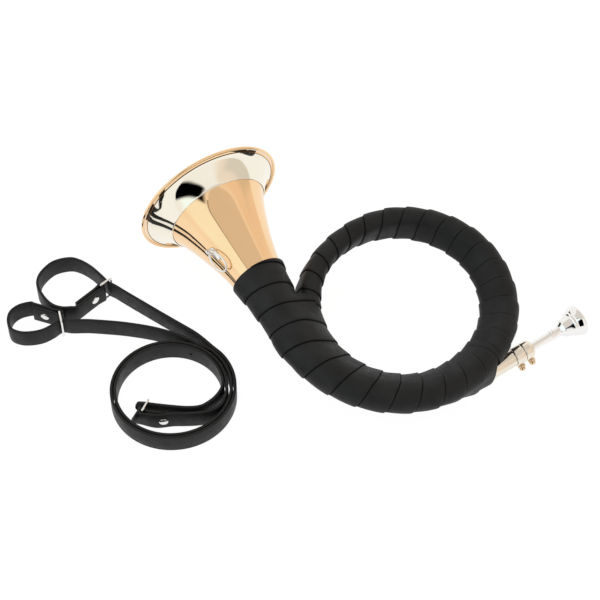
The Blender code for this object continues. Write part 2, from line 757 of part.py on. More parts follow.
def screw_hole(name, place, parent):
    bore = SCREW_RADIUS + GAP
    profile = ((COLLAR_RADIUS * 0.3, bore), (COLLAR_RADIUS + SCREW_RADIUS, bore))
    return add_cutter(name, turned(profile, SCREW_SIDES), parent, place)


def make_screw(name, place, tip, parent):
    """A clamp screw: its shank advances along the empty's X, its knurled head turns about it."""
    advance = add_empty(name + "_advance", parent, place)
    shank_end = COLLAR_RADIUS + GAP + HEAD_SOCKET
    shank = ((tip, SCREW_RADIUS), (shank_end, SCREW_RADIUS))
    add_mesh(name + "_shank", turned(shank, SCREW_SIDES), "raw_brass", advance)
    base = COLLAR_RADIUS + GAP
    outline = [(base + distance_out, radius) for distance_out, radius in HEAD_PROFILE]
    socket = SCREW_RADIUS + GAP
    depth = base + HEAD_SOCKET + GAP
    profile = [(base, socket)] + outline + [(outline[-1][0], HEAD_VENT), (depth, HEAD_VENT), (depth, socket)]
    return add_mesh(name + "_head", turned(profile, SCREW_SIDES, closed=True), "raw_brass", advance)


def make_pipe(horn):
    pipe = add_empty("pipe_axis", horn, PIPE_FRAME)
    inner = SLEEVE_RADIUS - SLEEVE_WALL
    sleeve = ring_profile(SLEEVE_FROM, SLEEVE_TO, inner, SLEEVE_RADIUS)
    pipe_shape("slide_sleeve", sleeve, "nickel_silver", pipe)
    ferrule = ring_profile(
        SLEEVE_FROM + FERRULE_INSET, LEAD_END - FERRULE_INSET, TUBE_START_RADIUS + GAP * 0.5, inner - GAP * 0.5)
    pipe_shape("lead_ferrule", ferrule, "gold_brass", pipe)

    collar = ring_profile(COLLAR_FROM, COLLAR_TO, SLIDE_RADIUS + GAP, COLLAR_RADIUS, COLLAR_CHAMFER)
    clamp = pipe_shape("clamp_collar", collar, "nickel_silver", pipe)
    clamp_at = COLLAR_FROM + COLLAR_LENGTH * CLAMP_SCREW_AT
    clamp_place = screw_frame(clamp_at)
    cut(clamp, screw_hole("clamp_hole", clamp_place, horn))
    make_screw("clamp_screw", clamp_place, SLIDE_RADIUS + GAP, horn)

    slide = add_empty("tuning_slide", horn, PIPE_FRAME)
    tube = ring_profile(SLIDE_FROM, SLIDE_TO, SLIDE_RADIUS - SLIDE_WALL, SLIDE_RADIUS)
    pipe_shape("slide_tube", tube, "nickel_silver", slide)
    seat = MOUTHPIECE_PROFILE[1][1] + GAP
    socket = SLIDE_RADIUS + GAP
    bottom = RECEIVER_FROM + SOCKET_DEPTH + GAP
    receiver_profile = (
        (RECEIVER_FROM, socket), (RECEIVER_FROM, COLLAR_RADIUS - 0.0004),
        (RECEIVER_FROM + 0.0004, COLLAR_RADIUS), (RECEIVER_TO - 0.0030, COLLAR_RADIUS),
        (RECEIVER_TO - 0.0012, COLLAR_RADIUS - 0.0010), (RECEIVER_TO, COLLAR_RADIUS - 0.0028),
        (RECEIVER_TO, seat), (bottom, seat), (bottom, socket),
    )
    receiver = pipe_shape("receiver_collar", receiver_profile, "nickel_silver", slide)
    receiver_at = RECEIVER_FROM + RECEIVER_LENGTH * RECEIVER_SCREW_AT
    receiver_place = PIPE_FRAME.inverted() @ screw_frame(receiver_at)
    cut(receiver, screw_hole("receiver_hole", receiver_place, slide))
    make_screw("receiver_screw", receiver_place, seat, slide)

    mouth = add_empty("mouthpiece_axis", slide, Matrix.Translation((RECEIVER_TO, 0.0, 0.0)))
    outline = list(MOUTHPIECE_PROFILE) + list(CUP_PROFILE)
    pipe_shape("mouthpiece", outline, "silver_plate", mouth, 24)


# Strap ring

def lug_frame():
    """Frame at the ring's hinge: +X toward the leather, +Z outward from the bell."""
    tilt = math.radians(LUG_TILT)
    outward = BRANCH_OUT * math.cos(tilt) + UP * math.sin(tilt)
    height = bell_radius(LUG_STATION) + GAP + LUG_PLATE_THICKNESS + EYE_RADIUS
    origin = RIM_CENTRE - BELL_DIRECTION * LUG_STATION + outward * height
    return axis_matrix(origin, -BELL_DIRECTION, outward)


def make_lug(horn):
    frame = lug_frame()
    to_bell = BELL_FRAME.inverted() @ frame
    outward = (to_bell.to_3x3() @ Vector((0.0, 0.0, 1.0))).normalized()
    around = math.atan2(outward.z, outward.y)
    rings = []
    middle = LUG_STATION + LUG_PLATE_LENGTH * 0.30
    layers = ((0.45, 0.0), (1.0, 0.0), (1.0, LUG_PLATE_THICKNESS * 0.6), (0.9, LUG_PLATE_THICKNESS),
              (0.45, LUG_PLATE_THICKNESS))
    for scale, lift in layers:
        ring = []
        for i in range(16):
            angle = TAU * i / 16
            station = middle + scale * LUG_PLATE_LENGTH * 0.5 * math.cos(angle)
            swell = 1.0 - 0.35 * math.cos(angle)
            side = scale * LUG_PLATE_WIDTH * 0.5 * math.sin(angle) * swell
            radius = bell_radius(station) + GAP + lift
            turn = around + side / radius
            ring.append(BELL_FRAME @ Vector((station, radius * math.cos(turn), radius * math.sin(turn))))
        rings.append(ring)
    plate = add_mesh("ring_lug", loft(rings), "silver_plate", horn)
    circle = []
    for i in range(12):
        angle = TAU * i / 12
        circle.append(frame @ Vector((EYE_RADIUS * math.cos(angle), 0.0, EYE_RADIUS * math.sin(angle))))
    eye = add_cutter("lug_eye", wire_loop(circle, EYE_WIRE, 6), horn)
    cut(plate, eye, 'UNION')
    return plate


def wire_loop(centres, radius, sides):
    """Round wire on a closed flat loop of points."""
    count = len(centres)
    middle = sum(centres, Vector()) / count
    normal = (centres[0] - middle).cross(centres[count // 4] - middle).normalized()
    rings = []
    for i, centre in enumerate(centres):
        along = (centres[(i + 1) % count] - centres[i - 1]).normalized()
        side = along.cross(normal)
        corner = (centres[(i + 1) % count] - centre).angle(centre - centres[i - 1])
        stretch = 1.0 / math.cos(min(corner, 1.2) * 0.5)
        rings.append([
            centre + side * (radius * stretch * math.cos(TAU * k / sides))
            + normal * (radius * math.sin(TAU * k / sides))
            for k in range(sides)
        ])
    return loft(rings, closed=True)


def make_strap_ring(horn):
    lean = Matrix.Rotation(math.radians(STRAP_RING_REST), 4, 'Y')
    hinge = add_empty("strap_ring_hinge", horn, lug_frame() @ lean)
    points = []
    for i in range(24):
        angle = TAU * i / 24
        x = STRAP_RING_LENGTH * 0.5 * (1.0 - math.cos(angle))
        taper = 1.0 - 0.18 * math.cos(angle)
        points.append(Vector((x, STRAP_RING_WIDTH * 0.5 * math.sin(angle) * taper, 0.0)))
    return add_mesh("strap_ring", wire_loop(points, STRAP_RING_WIRE, 8), "silver_plate", hinge)


# Carrying strap

def ribbon(route, folds):
    """Flat strap standing on edge along a route of (x, y, lower edge), its last end rounded."""
    points = smooth_path(route, STRAP_CHORD)
    left = 0.0
    shares = [1.0] * len(points)
    for i in range(len(points) - 2, 0, -1):
        left += (points[i + 1] - points[i]).length
        shares[i] = math.sqrt(1.0 - max(0.0, 1.0 - left / (STRAP_WIDTH * 0.5)) ** 2)
    shares[-1] = TIP_SHARE
    rings = []
    for i, point in enumerate(points):
        along = points[min(i + 1, len(points) - 1)] - points[max(i - 1, 0)]
        side = Vector((along.y, -along.x, 0.0)).normalized() * (STRAP_THICKNESS * 0.5)
        middle = point + UP * (STRAP_WIDTH * 0.5)
        upward = sum((fold.leaning(point) for fold in folds), UP)
        half = upward * (STRAP_WIDTH * 0.5 * shares[i])
        rings.append([middle - side - half, middle + side - half, middle + side + half, middle - side + half])
    return loft(rings)


def lifted(points, lifts):
    """Plan points with the strap's lower edge raised; lifts are shares of the full lift."""
    return [Vector((point[0], point[1], STRAP_LIFT * lift)) for point, lift in zip(points, lifts)]


def in_coil(points):
    """Plan points from shares of the coil's radius about its centre."""
    return [(COIL_CENTRE[0] + COIL_RADIUS * x, COIL_CENTRE[1] + COIL_RADIUS * y) for x, y in points]


def coil_point(bearing, inset):
    radius = COIL_RADIUS - inset - COIL_PITCH * (COIL_FROM - bearing) / 360.0
    return (
        COIL_CENTRE[0] + radius * COIL_STRETCH * math.cos(math.radians(bearing)),
        COIL_CENTRE[1] + radius * math.sin(math.radians(bearing)),
    )


def coil_route(inset, last):
    count = round((COIL_FROM - last) / 12.0)
    points = [coil_point(COIL_FROM + (last - COIL_FROM) * k / count, inset) for k in range(count + 1)]
    return lifted(points, [0.0] * len(points))


class Fold:
    """A strap end folded round a slider's bar and riveted to itself."""

    def __init__(self, layout, place):
        arrival, width, lean, self.curve, hand, self.rivet_at, self.tail, self.free = layout[1:]
        self.bar = Vector((place[0], place[1], STRAP_LIFT))
        self.toward = outward_at(arrival)
        self.side = Vector((self.toward.y, -self.toward.x, 0.0)) * hand
        self.width = outward_at(width)
        self.lean = Vector((self.width.y, -self.width.x, 0.0)) * math.tan(math.radians(lean))

    def at(self, along, across):
        """Point of the folded strap: distance toward the bar's far side, then to its own side."""
        half = self.curve * max(-along - FOLD_FLAT, 0.0) * 0.5
        straight = self.bar + self.toward * max(along, -FOLD_FLAT)
        chord = math.sin(half) / half if half else 1.0
        curved = self.toward * (min(along + FOLD_FLAT, 0.0) * chord)
        middle = straight + Matrix.Rotation(half, 3, 'Z') @ curved
        return middle + Matrix.Rotation(half * 2.0, 3, 'Z') @ (self.side * across)

    def route(self):
        """From the tail's tip, round the bar and back to where the strap is free."""
        bend = SLIDER_WIRE + GAP + STRAP_THICKNESS * 0.5
        layer = STRAP_THICKNESS * 0.5 + GAP
        middle = -(self.tail + FOLD_FLAT) * 0.5
        points = [(-self.tail, layer), (middle, layer), (-FOLD_FLAT, layer), (-FOLD_START, (layer + bend) * 0.5)]
        for degrees in (75.0, 45.0, 15.0, -15.0, -45.0, -75.0):
            angle = math.radians(degrees)
            points.append((bend * math.cos(angle), bend * math.sin(angle)))
        points += [(-FOLD_START, (layer + bend) * -0.5), (-FOLD_FLAT, -layer), (middle, -layer), (-self.free, -layer)]
        return [self.at(along, across) for along, across in points]

    def leaning(self, point):
        """How far the strap's upper edge stands off its middle here, for each metre of height."""
        away = ((point - self.bar) * Vector((1.0, 1.0, 0.0))).length
        return self.lean * min(1.0, max(0.0, (LEAN_REACH - away) / LEAN_FADE))

    def passage(self):
        return self.bar + self.width * SLIDER_PASS

    def slider_matrix(self):
        middle = self.bar + self.width * (SLIDER_WIDTH * 0.5 - SLIDER_WIRE) + UP * (STRAP_WIDTH * 0.5)
        return axis_matrix(middle, self.width, UP + self.lean)

    def rivet_matrix(self):
        middle = self.at(-self.rivet_at, 0.0)
        across = self.at(-self.rivet_at, 1.0) - middle
        return axis_matrix(middle + UP * (STRAP_WIDTH * 0.5), across, UP)


def make_slider(name, fold, strap_set):
    """Wire frame round the strap: +X along its width, +Z up, origin at its middle."""
    half_width = SLIDER_WIDTH * 0.5 - SLIDER_WIRE
    half_height = (STRAP_WIDTH * 0.5 + SLIDER_ROOM + SLIDER_WIRE) * (UP + fold.lean).length
    corners = []
    for sx, sz, start in ((1, 1, 0), (-1, 1, 90), (-1, -1, 180), (1, -1, 270)):
        for degrees in (start, start + 45, start + 90):
            angle = math.radians(degrees)
            corners.append(Vector((
                sx * (half_width - SLIDER_TURN) + SLIDER_TURN * math.cos(angle), 0.0,
                sz * (half_height - SLIDER_TURN) + SLIDER_TURN * math.sin(angle),
            )))
    return add_mesh(name, wire_loop(corners, SLIDER_WIRE, 8), "silver_plate", strap_set, fold.slider_matrix())


def make_rivet(name, fold, strap, strap_set):
    """Rivet through the two layers of a folded end; its axis is its own X."""
    grip = STRAP_THICKNESS + 2.0 * GAP
    profile = (
        (-grip - RIVET_DOME, RIVET_HEAD * 0.35), (-grip - RIVET_DOME * 0.6, RIVET_HEAD * 0.8),
        (-grip, RIVET_HEAD), (-grip, RIVET_RADIUS), (grip, RIVET_RADIUS), (grip, RIVET_HEAD),
        (grip + RIVET_DOME * 0.6, RIVET_HEAD * 0.8), (grip + RIVET_DOME, RIVET_HEAD * 0.35),
    )
    item = add_mesh(name, turned(profile, 12), "silver_plate", strap_set, fold.rivet_matrix())
    bore = RIVET_RADIUS + GAP
    hole = turned(((-grip, bore), (grip, bore)), 8)
    cut(strap, add_cutter(name + "_hole", hole, strap_set, fold.rivet_matrix()))
    return item


def punch(name, strap, place, bearing, strap_set):
    """Adjustment hole through a single strap, square to it."""
    middle = Vector((place[0], place[1], STRAP_WIDTH * 0.5))
    hole = turned(((-STRAP_THICKNESS, HOLE_RADIUS), (STRAP_THICKNESS, HOLE_RADIUS)), 8)
    cut(strap, add_cutter(name, hole, strap_set, axis_matrix(middle, outward_at(bearing), UP)))


def make_strap(stand):
    strap_set = add_empty(
        "strap_set", stand, Matrix.Translation((-RING_ON_FLOOR[0], -RING_ON_FLOOR[1], 0.0)))
    noose = Fold(LONG_NOOSE, LONG_NOOSE[0])
    end = Fold(LONG_END, in_coil([LONG_END[0]])[0])
    route = noose.route() + lifted(LONG_LOOP, [1.0] * len(LONG_LOOP)) + [noose.passage()]
    route += lifted(LONG_STRAND, (1.0, 1.0, 0.8, 0.5, 0.2, 0.0, 0.0)) + coil_route(0.0, LONG_COIL_TO)
    route += lifted(in_coil(LONG_RUN_OUT), (0.2, 0.5, 0.8, 1.0)) + end.route()[::-1]
    long_strap = add_mesh("long_strap", ribbon(route, (noose, end)), "black_leather", strap_set)

    second = Fold(SHORT_NOOSE, SHORT_NOOSE[0])
    route = second.route() + lifted(SHORT_LOOP, [1.0] * len(SHORT_LOOP)) + [second.passage()]
    route += lifted(SHORT_STRAND, (1.0, 1.0, 0.8, 0.6, 0.3, 0.1, 0.0, 0.0, 0.0))
    route += coil_route(COIL_INSET, SHORT_COIL_TO)
    route += lifted(in_coil(SHORT_RUN_OUT), (0.0, 0.2, 0.4, 0.6, 0.8, 1.0, 1.0)) + [end.passage()]
    route += lifted(in_coil(SHORT_TAIL), (1.0, 1.0))
    short_strap = add_mesh("short_strap", ribbon(route, (second,)), "black_leather", strap_set)

    make_slider("noose_slider_1", noose, strap_set)
    make_slider("noose_slider_2", second, strap_set)
    make_slider("length_slider", end, strap_set)
    make_rivet("noose_rivet_1", noose, long_strap, strap_set)
    make_rivet("noose_rivet_2", second, short_strap, strap_set)
    make_rivet("length_rivet", end, long_strap, strap_set)
    punch("coil_hole", short_strap, coil_point(-290.0, COIL_INSET), -290.0, strap_set)


def settle(horn, points):
    """Turn and lift the horn so that it rests on the rim, the wrapped ring and the clamped pipe."""
    along = points @ np.array(BELL_DIRECTION)
    across = points @ np.array(BRANCH_OUT)
    groups = (along > 0.0, (along < 0.0) & (across > PIPE_SIDE), (along < 0.0) & (across < PIPE_SIDE))
    normal = np.array((0.0, 0.0, 1.0))
    for attempt in range(8):
        touch = [points[group][np.argmin(points[group] @ normal)] for group in groups]
        normal = np.cross(touch[1] - touch[0], touch[2] - touch[0])
        normal = normal / np.linalg.norm(normal)
        normal = normal * math.copysign(1.0, normal[2])
    turn = Vector(normal).rotation_difference(UP).to_matrix().to_4x4()
    low = min(points @ normal)
    horn.matrix_local = Matrix.Translation((0.0, 0.0, -low)) @ turn


def world_points(items):
    bpy.context.view_layer.update()
    graph = bpy.context.evaluated_depsgraph_get()
    found = []
    for item in items:
        seen = item.evaluated_get(graph)
        mesh = seen.to_mesh()
        coordinates = np.empty(len(mesh.vertices) * 3)
        mesh.vertices.foreach_get("co", coordinates)
        seen.to_mesh_clear()
        matrix = np.array(item.matrix_world)
        found.append(coordinates.reshape(-1, 3) @ matrix[:3, :3].T + matrix[:3, 3])
    return np.concatenate(found)


def main():
    clear_scene()
    stand = add_empty("stand")
    horn = add_empty("horn", stand)
    make_coil_tube(horn)
    make_bell(horn)
    make_garland(horn)
    make_rim_wire(horn)
    make_bell_ferrule(horn)
    make_wraps(horn)
    make_pipe(horn)
    make_lug(horn)
    make_strap_ring(horn)
    pieces = [item for item in bpy.data.objects if item.type == 'MESH' and not item.hide_render]
    settle(horn, world_points(pieces))
    make_strap(stand)
    pieces = [item for item in bpy.data.objects if item.type == 'MESH' and not item.hide_render]
    corners = world_points(pieces)
    middle = (corners.min(axis=0) + corners.max(axis=0)) * 0.5
    stand.location = (-middle[0], -middle[1], -corners[:, 2].min())


main()
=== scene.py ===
"""Look of the leather-wrapped hunting horn and its carrying strap, dressed over the CAD frame.

The horn's own plane is x and y with its origin at the ring's centre, as in the part's source;
HORN places it on the floor and STRAP places the strap beside it. Metres throughout.
"""

import json
import math

import bmesh
import bpy
import numpy as np
from mathutils import Matrix, Vector

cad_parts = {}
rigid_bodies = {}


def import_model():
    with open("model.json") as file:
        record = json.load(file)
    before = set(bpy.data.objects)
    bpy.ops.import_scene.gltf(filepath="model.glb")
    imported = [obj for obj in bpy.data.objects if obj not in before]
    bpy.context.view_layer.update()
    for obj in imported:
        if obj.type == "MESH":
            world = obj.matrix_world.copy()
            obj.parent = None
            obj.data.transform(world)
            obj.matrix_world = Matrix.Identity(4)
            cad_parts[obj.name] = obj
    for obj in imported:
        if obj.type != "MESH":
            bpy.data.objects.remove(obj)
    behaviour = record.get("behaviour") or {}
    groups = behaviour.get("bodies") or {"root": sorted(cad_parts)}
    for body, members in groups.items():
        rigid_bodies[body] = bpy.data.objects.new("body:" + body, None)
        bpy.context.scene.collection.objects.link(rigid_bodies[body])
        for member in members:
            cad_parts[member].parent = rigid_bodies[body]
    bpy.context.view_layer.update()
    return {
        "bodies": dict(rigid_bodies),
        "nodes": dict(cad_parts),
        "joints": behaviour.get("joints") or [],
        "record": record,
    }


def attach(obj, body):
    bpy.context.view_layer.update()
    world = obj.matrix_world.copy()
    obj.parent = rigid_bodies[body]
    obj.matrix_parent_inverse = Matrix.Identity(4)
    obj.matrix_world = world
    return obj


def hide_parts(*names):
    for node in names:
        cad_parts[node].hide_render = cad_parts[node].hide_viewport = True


TAU = 2.0 * math.pi

# Camera fitted to the photograph
TARGET = (0.0019, 0.02646, 0.0)
ELEVATION = 53.7
DISTANCE = 1.5
LENS = 115.2
SENSOR = 36.0

# Where the horn and the strap lie: the ring's axis, the ring's centre and the strap's origin
HORN_UP = (-0.095332, 0.086473, 0.991682)
HORN_AT = (0.081399, -0.000439, 0.028005)
STRAP_AT = (0.001899, 0.026461, 0.000034)

# Fits
GAP = 0.0003  # clearance between pieces that touch

# Coil tube: angles are degrees of winding, clockwise seen from above
RING_RADIUS = 0.074  # mean radius of the bundle of tubes
START_ANGLE = -44.2  # ring angle where winding is counted from
FOOT_TURN = 826.2  # winding at which the tube leaves the ring for the bell
TUBE_START_RADIUS = 0.0048
TUBE_TAPER = 0.0018  # even growth of the radius over the winding
TUBE_FLARE = 0.0066  # growth that comes at the end of the winding
FLARE_POWER = 9

# Lanes: winding, offset outward from the ring radius, offset upward
LANES = (
    (10.0, 0.0024, -0.0099), (45.0, -0.0011, -0.0120), (106.6, -0.0013, -0.0114),
    (135.0, 0.0030, -0.0086), (180.0, 0.0010, -0.0072), (225.0, -0.0002, -0.0046),
    (270.0, -0.0033, -0.0027), (315.0, -0.0081, -0.0023), (360.0, -0.0113, -0.0015),
    (405.0, -0.0074, -0.0015), (466.6, -0.0028, -0.0001), (495.0, -0.0016, 0.0035),
    (540.0, -0.0018, 0.0054), (585.0, 0.0018, 0.0081), (630.0, 0.0049, 0.0074),
    (675.0, 0.0036, 0.0047), (705.0, 0.0016, 0.0069), (729.6, 0.0027, 0.0069),
    (765.0, 0.0072, 0.0059), (800.0, 0.0126, 0.0066), (FOOT_TURN, 0.0166, 0.0082),
)

# Bell branch: straight from the foot of the coil, distances back from the rim
BELL_TAIL = 0.1400  # rim to the joint with the coil tube
BRANCH_LENGTH = BELL_TAIL + 0.0075  # rim to the foot of the coil
BELL_PROFILE = (
    (0.0000, 0.0556), (0.0020, 0.0516), (0.0055, 0.0473), (0.0100, 0.0433),
    (0.0160, 0.0395), (0.0235, 0.0357), (0.0325, 0.0322), (0.0430, 0.0286),
    (0.0550, 0.0250), (0.0680, 0.0219), (0.0800, 0.0196), (0.0940, 0.0172),
    (0.1180, 0.0151), (BELL_TAIL, 0.0140),
)
BELL_WALL = 0.0005
GARLAND_LENGTH = 0.0160  # width of the garland over the flare
GARLAND_WALL = 0.0005
RIM_WIRE_RADIUS = 0.0012
FERRULE_LENGTH = 0.0070

# Leather wraps
LEATHER_BASE = 0.0009  # leather over the metal at a turn's low side
LEATHER_STEP = 0.0010  # height of a turn's free edge over its neighbour
WRAP_CLEARANCE = 0.0008  # inside of the wrap to the tubes
FERRULE_ROOM = 0.0015  # further room over the ferrule of the bell's joint
TAUT = 0.0009  # rounding of the skin between two tubes on the ring
SLACK = 0.0016  # the same between the ring and the branch
UPPER_FROM = 186.5  # ring angle where the upper wrap starts under the lower one
SEAM_ANGLE = -36.0  # ring angle where the two wraps meet
SEAM_OPENING = 0.3  # degrees between their ends
UPPER_TURNS = 18
LOWER_TURNS = 13
WRAP_END = 0.0760  # rim to the bell end of the leather
WEB_FROM = 0.0330  # along the branch: where the leather leaves the ring
WEB_TO = 0.0450
WEB_RELUCTANCE = 0.060  # how fast the leather leaves the ring's tubes there
LOWER_OUTSET = 0.0060  # ring radius to the line along which its turns are counted

# Mouthpipe: distances along its axis from its foot on the ring
PIPE_BEARING = 33.5  # direction in the ring's plane
PIPE_OFFSET = RING_RADIUS + LANES[0][1]  # ring centre to the axis
PIPE_DROP = -LANES[0][2]  # axis below the ring's plane at the foot
PIPE_RISE = 4.5  # degrees that the axis climbs outward
SLEEVE_FROM = 0.0140
SLEEVE_TO = 0.0490
SLEEVE_RADIUS = 0.0064
SLEEVE_WALL = 0.0009
SLIDE_FROM = 0.0220
SLIDE_WALL = 0.0005
COLLAR_LENGTH = 0.0082
COLLAR_RADIUS = 0.0073
RECEIVER_LENGTH = 0.0090
SOCKET_DEPTH = 0.0022  # slide tube inside the receiver
CLAMP_SCREW_AT = 0.50  # share of the collar's length
RECEIVER_SCREW_AT = 0.56

# Clamp screws
SCREW_TILT = 45.0  # degrees below the ring's plane
SCREW_RADIUS = 0.0011
HEAD_PROFILE = (
    (0.0000, 0.0019), (0.0008, 0.0019), (0.0008, 0.0029), (0.0020, 0.0029),
    (0.0020, 0.0018), (0.0026, 0.0018), (0.0026, 0.0024), (0.0046, 0.0024),
    (0.0052, 0.0016),
)
HEAD_SOCKET = 0.0022  # depth of the head's socket over the screw

# Mouthpiece: distances from the face of the receiver, outward positive
SHANK_INSIDE = 0.0190
MOUTHPIECE_PROFILE = (
    (-SHANK_INSIDE, 0.0028), (0.0000, 0.0032), (0.0172, 0.0037), (0.0172, 0.0041),
    (0.0184, 0.0041), (0.0184, 0.0037), (0.0196, 0.0037), (0.0196, 0.0041),
    (0.0208, 0.0041), (0.0208, 0.0037), (0.0258, 0.0040), (0.0272, 0.0052),
    (0.0286, 0.0064), (0.0330, 0.0078), (0.0356, 0.0090), (0.0364, 0.0098),
    (0.0380, 0.0098), (0.0386, 0.0104), (0.0420, 0.0122), (0.0440, 0.0125),
    (0.0450, 0.0116),
)
CUP_PROFILE = (
    (0.0450, 0.0094), (0.0438, 0.0083), (0.0400, 0.0072), (0.0340, 0.0052),
    (0.0290, 0.0026), (0.0260, 0.0014), (0.0120, 0.0014), (-SHANK_INSIDE, 0.0022),
)

# Strap ring on the bell
LUG_STATION = 0.0500  # back from the rim
LUG_TILT = 24.0  # degrees above the ring's plane, on the outer side
LUG_PLATE_LENGTH = 0.0170
LUG_PLATE_WIDTH = 0.0100
LUG_PLATE_THICKNESS = 0.0008
EYE_RADIUS = 0.0023
EYE_WIRE = 0.0008
STRAP_RING_LENGTH = 0.0190  # along the centre of the wire
STRAP_RING_WIDTH = 0.0108
STRAP_RING_WIRE = 0.0008
STRAP_RING_REST = 14.0  # degrees that it leans in toward the bell at rest

# Carrying strap
STRAP_WIDTH = 0.0168
STRAP_THICKNESS = 0.0022
COIL_JOIN = (-0.0662, -0.0556)  # outer strap where it joins the coil
COIL_FROM = 52.0  # bearing of that place; the coil runs clockwise and inward
COIL_RADIUS = 0.0468
COIL_STRETCH = 1.04  # the coil is a little wider than it is deep
COIL_PITCH = 0.0060  # two straps and their gaps for each turn
COIL_INSET = 0.0027  # inner strap inside the outer one
COIL_STEP = 12.0  # degrees between points of its route
LONG_COIL_TO = -375.0
SHORT_COIL_TO = -350.0
SLIDER_WIRE = 0.0009
SLIDER_WIDTH = 0.0120
SLIDER_ROOM = 2.0 * GAP  # inside a slider, over and under the strap
SLIDER_PASS = 0.0070  # folded bar to the strap that runs through
STRAP_LIFT = SLIDER_ROOM + 2.0 * SLIDER_WIRE
FOLD_FLAT = 0.0060  # bar to where the two layers lie together
FOLD_START = 0.0020  # bar to where they begin to part
LEAN_REACH = 0.0090  # bar to where a leaning fold is upright again
LEAN_FADE = 0.0035
RIVET_RADIUS = 0.0012
RIVET_HEAD = 0.0034
RIVET_DOME = 0.0008
HOLE_RADIUS = 0.0010
HOLE_BEARING = -290.0

# Coil's centre, from the join
COIL_CENTRE = (
    COIL_JOIN[0] - COIL_RADIUS * COIL_STRETCH * math.cos(math.radians(COIL_FROM)),
    COIL_JOIN[1] - COIL_RADIUS * math.sin(math.radians(COIL_FROM)),
)

# A folded end: slider bar, bearing at which the strap arrives, bearing of the slider's width,
# lean of the slider, curve of the folded strap (1/m), side that the tail lies on, bar to rivet,
# bar to the tail's tip, bar to where the strap is free. The end in the coil and the runs to it
# are in shares of the coil's radius.
LONG_NOOSE = ((-0.1541, -0.0008), 45.0, 40.0, 0.0, 0.0, -1.0, 0.0081, 0.0240, 0.0255)
SHORT_NOOSE = ((-0.1843, -0.0256), -19.0, -75.5, 0.0, 0.0, 1.0, 0.0118, 0.0215, 0.0220)
LONG_END = ((-0.500, -0.464), 161.6, 66.0, 21.0, 32.0, 1.0, 0.0190, 0.0235, 0.0255)
LONG_LOOP = (
    (-0.1755, -0.0206), (-0.1830, -0.0207), (-0.1906, -0.0178), (-0.1976, -0.0104),
    (-0.2028, 0.0000), (-0.2028, 0.0090), (-0.1985, 0.0172), (-0.1915, 0.0238),
    (-0.1803, 0.0268), (-0.1721, 0.0246), (-0.1638, 0.0192), (-0.1560, 0.0116),
)
LONG_STRAND = (
    (-0.1430, 0.0001), (-0.1348, -0.0059), (-0.1231, -0.0138), (-0.1079, -0.0240),
    (-0.0927, -0.0340), (-0.0815, -0.0414), (-0.0748, -0.0470),
)
LONG_RUN_OUT = ((0.799, -0.335), (0.656, -0.453), (0.453, -0.513), (0.229, -0.534))
SHORT_LOOP = (
    (-0.2074, -0.0162), (-0.2160, -0.0190), (-0.2218, -0.0250), (-0.2228, -0.0330),
    (-0.2200, -0.0405), (-0.2130, -0.0440), (-0.2048, -0.0442), (-0.1965, -0.0422),
    (-0.1892, -0.0378),
)
SHORT_STRAND = (
    (-0.1745, -0.0330), (-0.1630, -0.0328), (-0.1513, -0.0333), (-0.1354, -0.0346),
    (-0.1194, -0.0369), (-0.1072, -0.0396), (-0.0948, -0.0438), (-0.0830, -0.0495),
    (-0.0762, -0.0535),
)
SHORT_RUN_OUT = (
    (0.806, -0.010), (0.731, -0.160), (0.628, -0.278), (0.485, -0.378),
    (0.282, -0.410), (0.040, -0.397), (-0.240, -0.362),
)
SHORT_TAIL = ((-0.505, -0.300), (-0.562, -0.296))


def loft(rings, closed=False):
    """Skin rings of equal length; closed joins the last ring to the first."""
    skin = bmesh.new()
    rows = [[skin.verts.new(point) for point in ring] for ring in rings]
    pairs = list(zip(rows, rows[1:]))
    if closed:
        pairs.append((rows[-1], rows[0]))
    count = len(rows[0])
    for lower, upper in pairs:
        for i in range(count):
            j = (i + 1) % count
            skin.faces.new((lower[i], lower[j], upper[j], upper[i]))
    if not closed:
        skin.faces.new(rows[0][::-1])
        skin.faces.new(rows[-1])
    return skin


def circle_points(count):
    """Cosine and sine at equal steps round a circle."""
    return [(math.cos(TAU * i / count), math.sin(TAU * i / count)) for i in range(count)]


def round_section(station, reach, radius, sides):
    """(distance, radius) pairs of a round wire bent about +X."""
    return [(station + radius * sine, reach + radius * cosine)
            for cosine, sine in circle_points(sides)]


def turned(profile, sides, closed=False):
    """Turn (distance, radius) pairs about +X."""
    circle = circle_points(sides)
    return loft([
        [Vector((distance, radius * cosine, radius * sine)) for cosine, sine in circle]
        for distance, radius in profile
    ], closed)


def axis_matrix(origin, direction, up):
    """Frame with +X along direction and +Z near up."""
    x_axis = Vector(direction).normalized()
    y_axis = Vector(up).cross(x_axis).normalized()
    z_axis = x_axis.cross(y_axis)
    matrix = Matrix((x_axis, y_axis, z_axis)).transposed().to_4x4()
    matrix.translation = Vector(origin)
    return matrix


CURVE_STEPS = 24  # between two points of a route
SHARPEST_MITRE = 1.2  # radians


def smooth_path(points, chord_error):
    """Fewest points on the smooth curve through the route that keep facets close to it."""
    route = [Vector(point) for point in points]
    ends = [route[0] * 2.0 - route[1]] + route + [route[-1] * 2.0 - route[-2]]
    dense = []
    for a, b, c, d in zip(ends, ends[1:], ends[2:], ends[3:]):
        for step in range(CURVE_STEPS):
            t = step / CURVE_STEPS
            dense.append(0.5 * (
                2.0 * b + (c - a) * t + (2.0 * a - 5.0 * b + 4.0 * c - d) * t ** 2
                + (3.0 * b - a - 3.0 * c + d) * t ** 3
            ))
    dense.append(route[-1])
    result = [dense[0]]
    start = 0
    for index in range(2, len(dense)):
        along = (dense[index] - dense[start]).normalized()
        between = [dense[k] - dense[start] for k in range(start + 1, index)]
        if max((offset - along * offset.dot(along)).length for offset in between) > chord_error:
            start = index - 1
            result.append(dense[start])
    result.append(dense[-1])
    return result


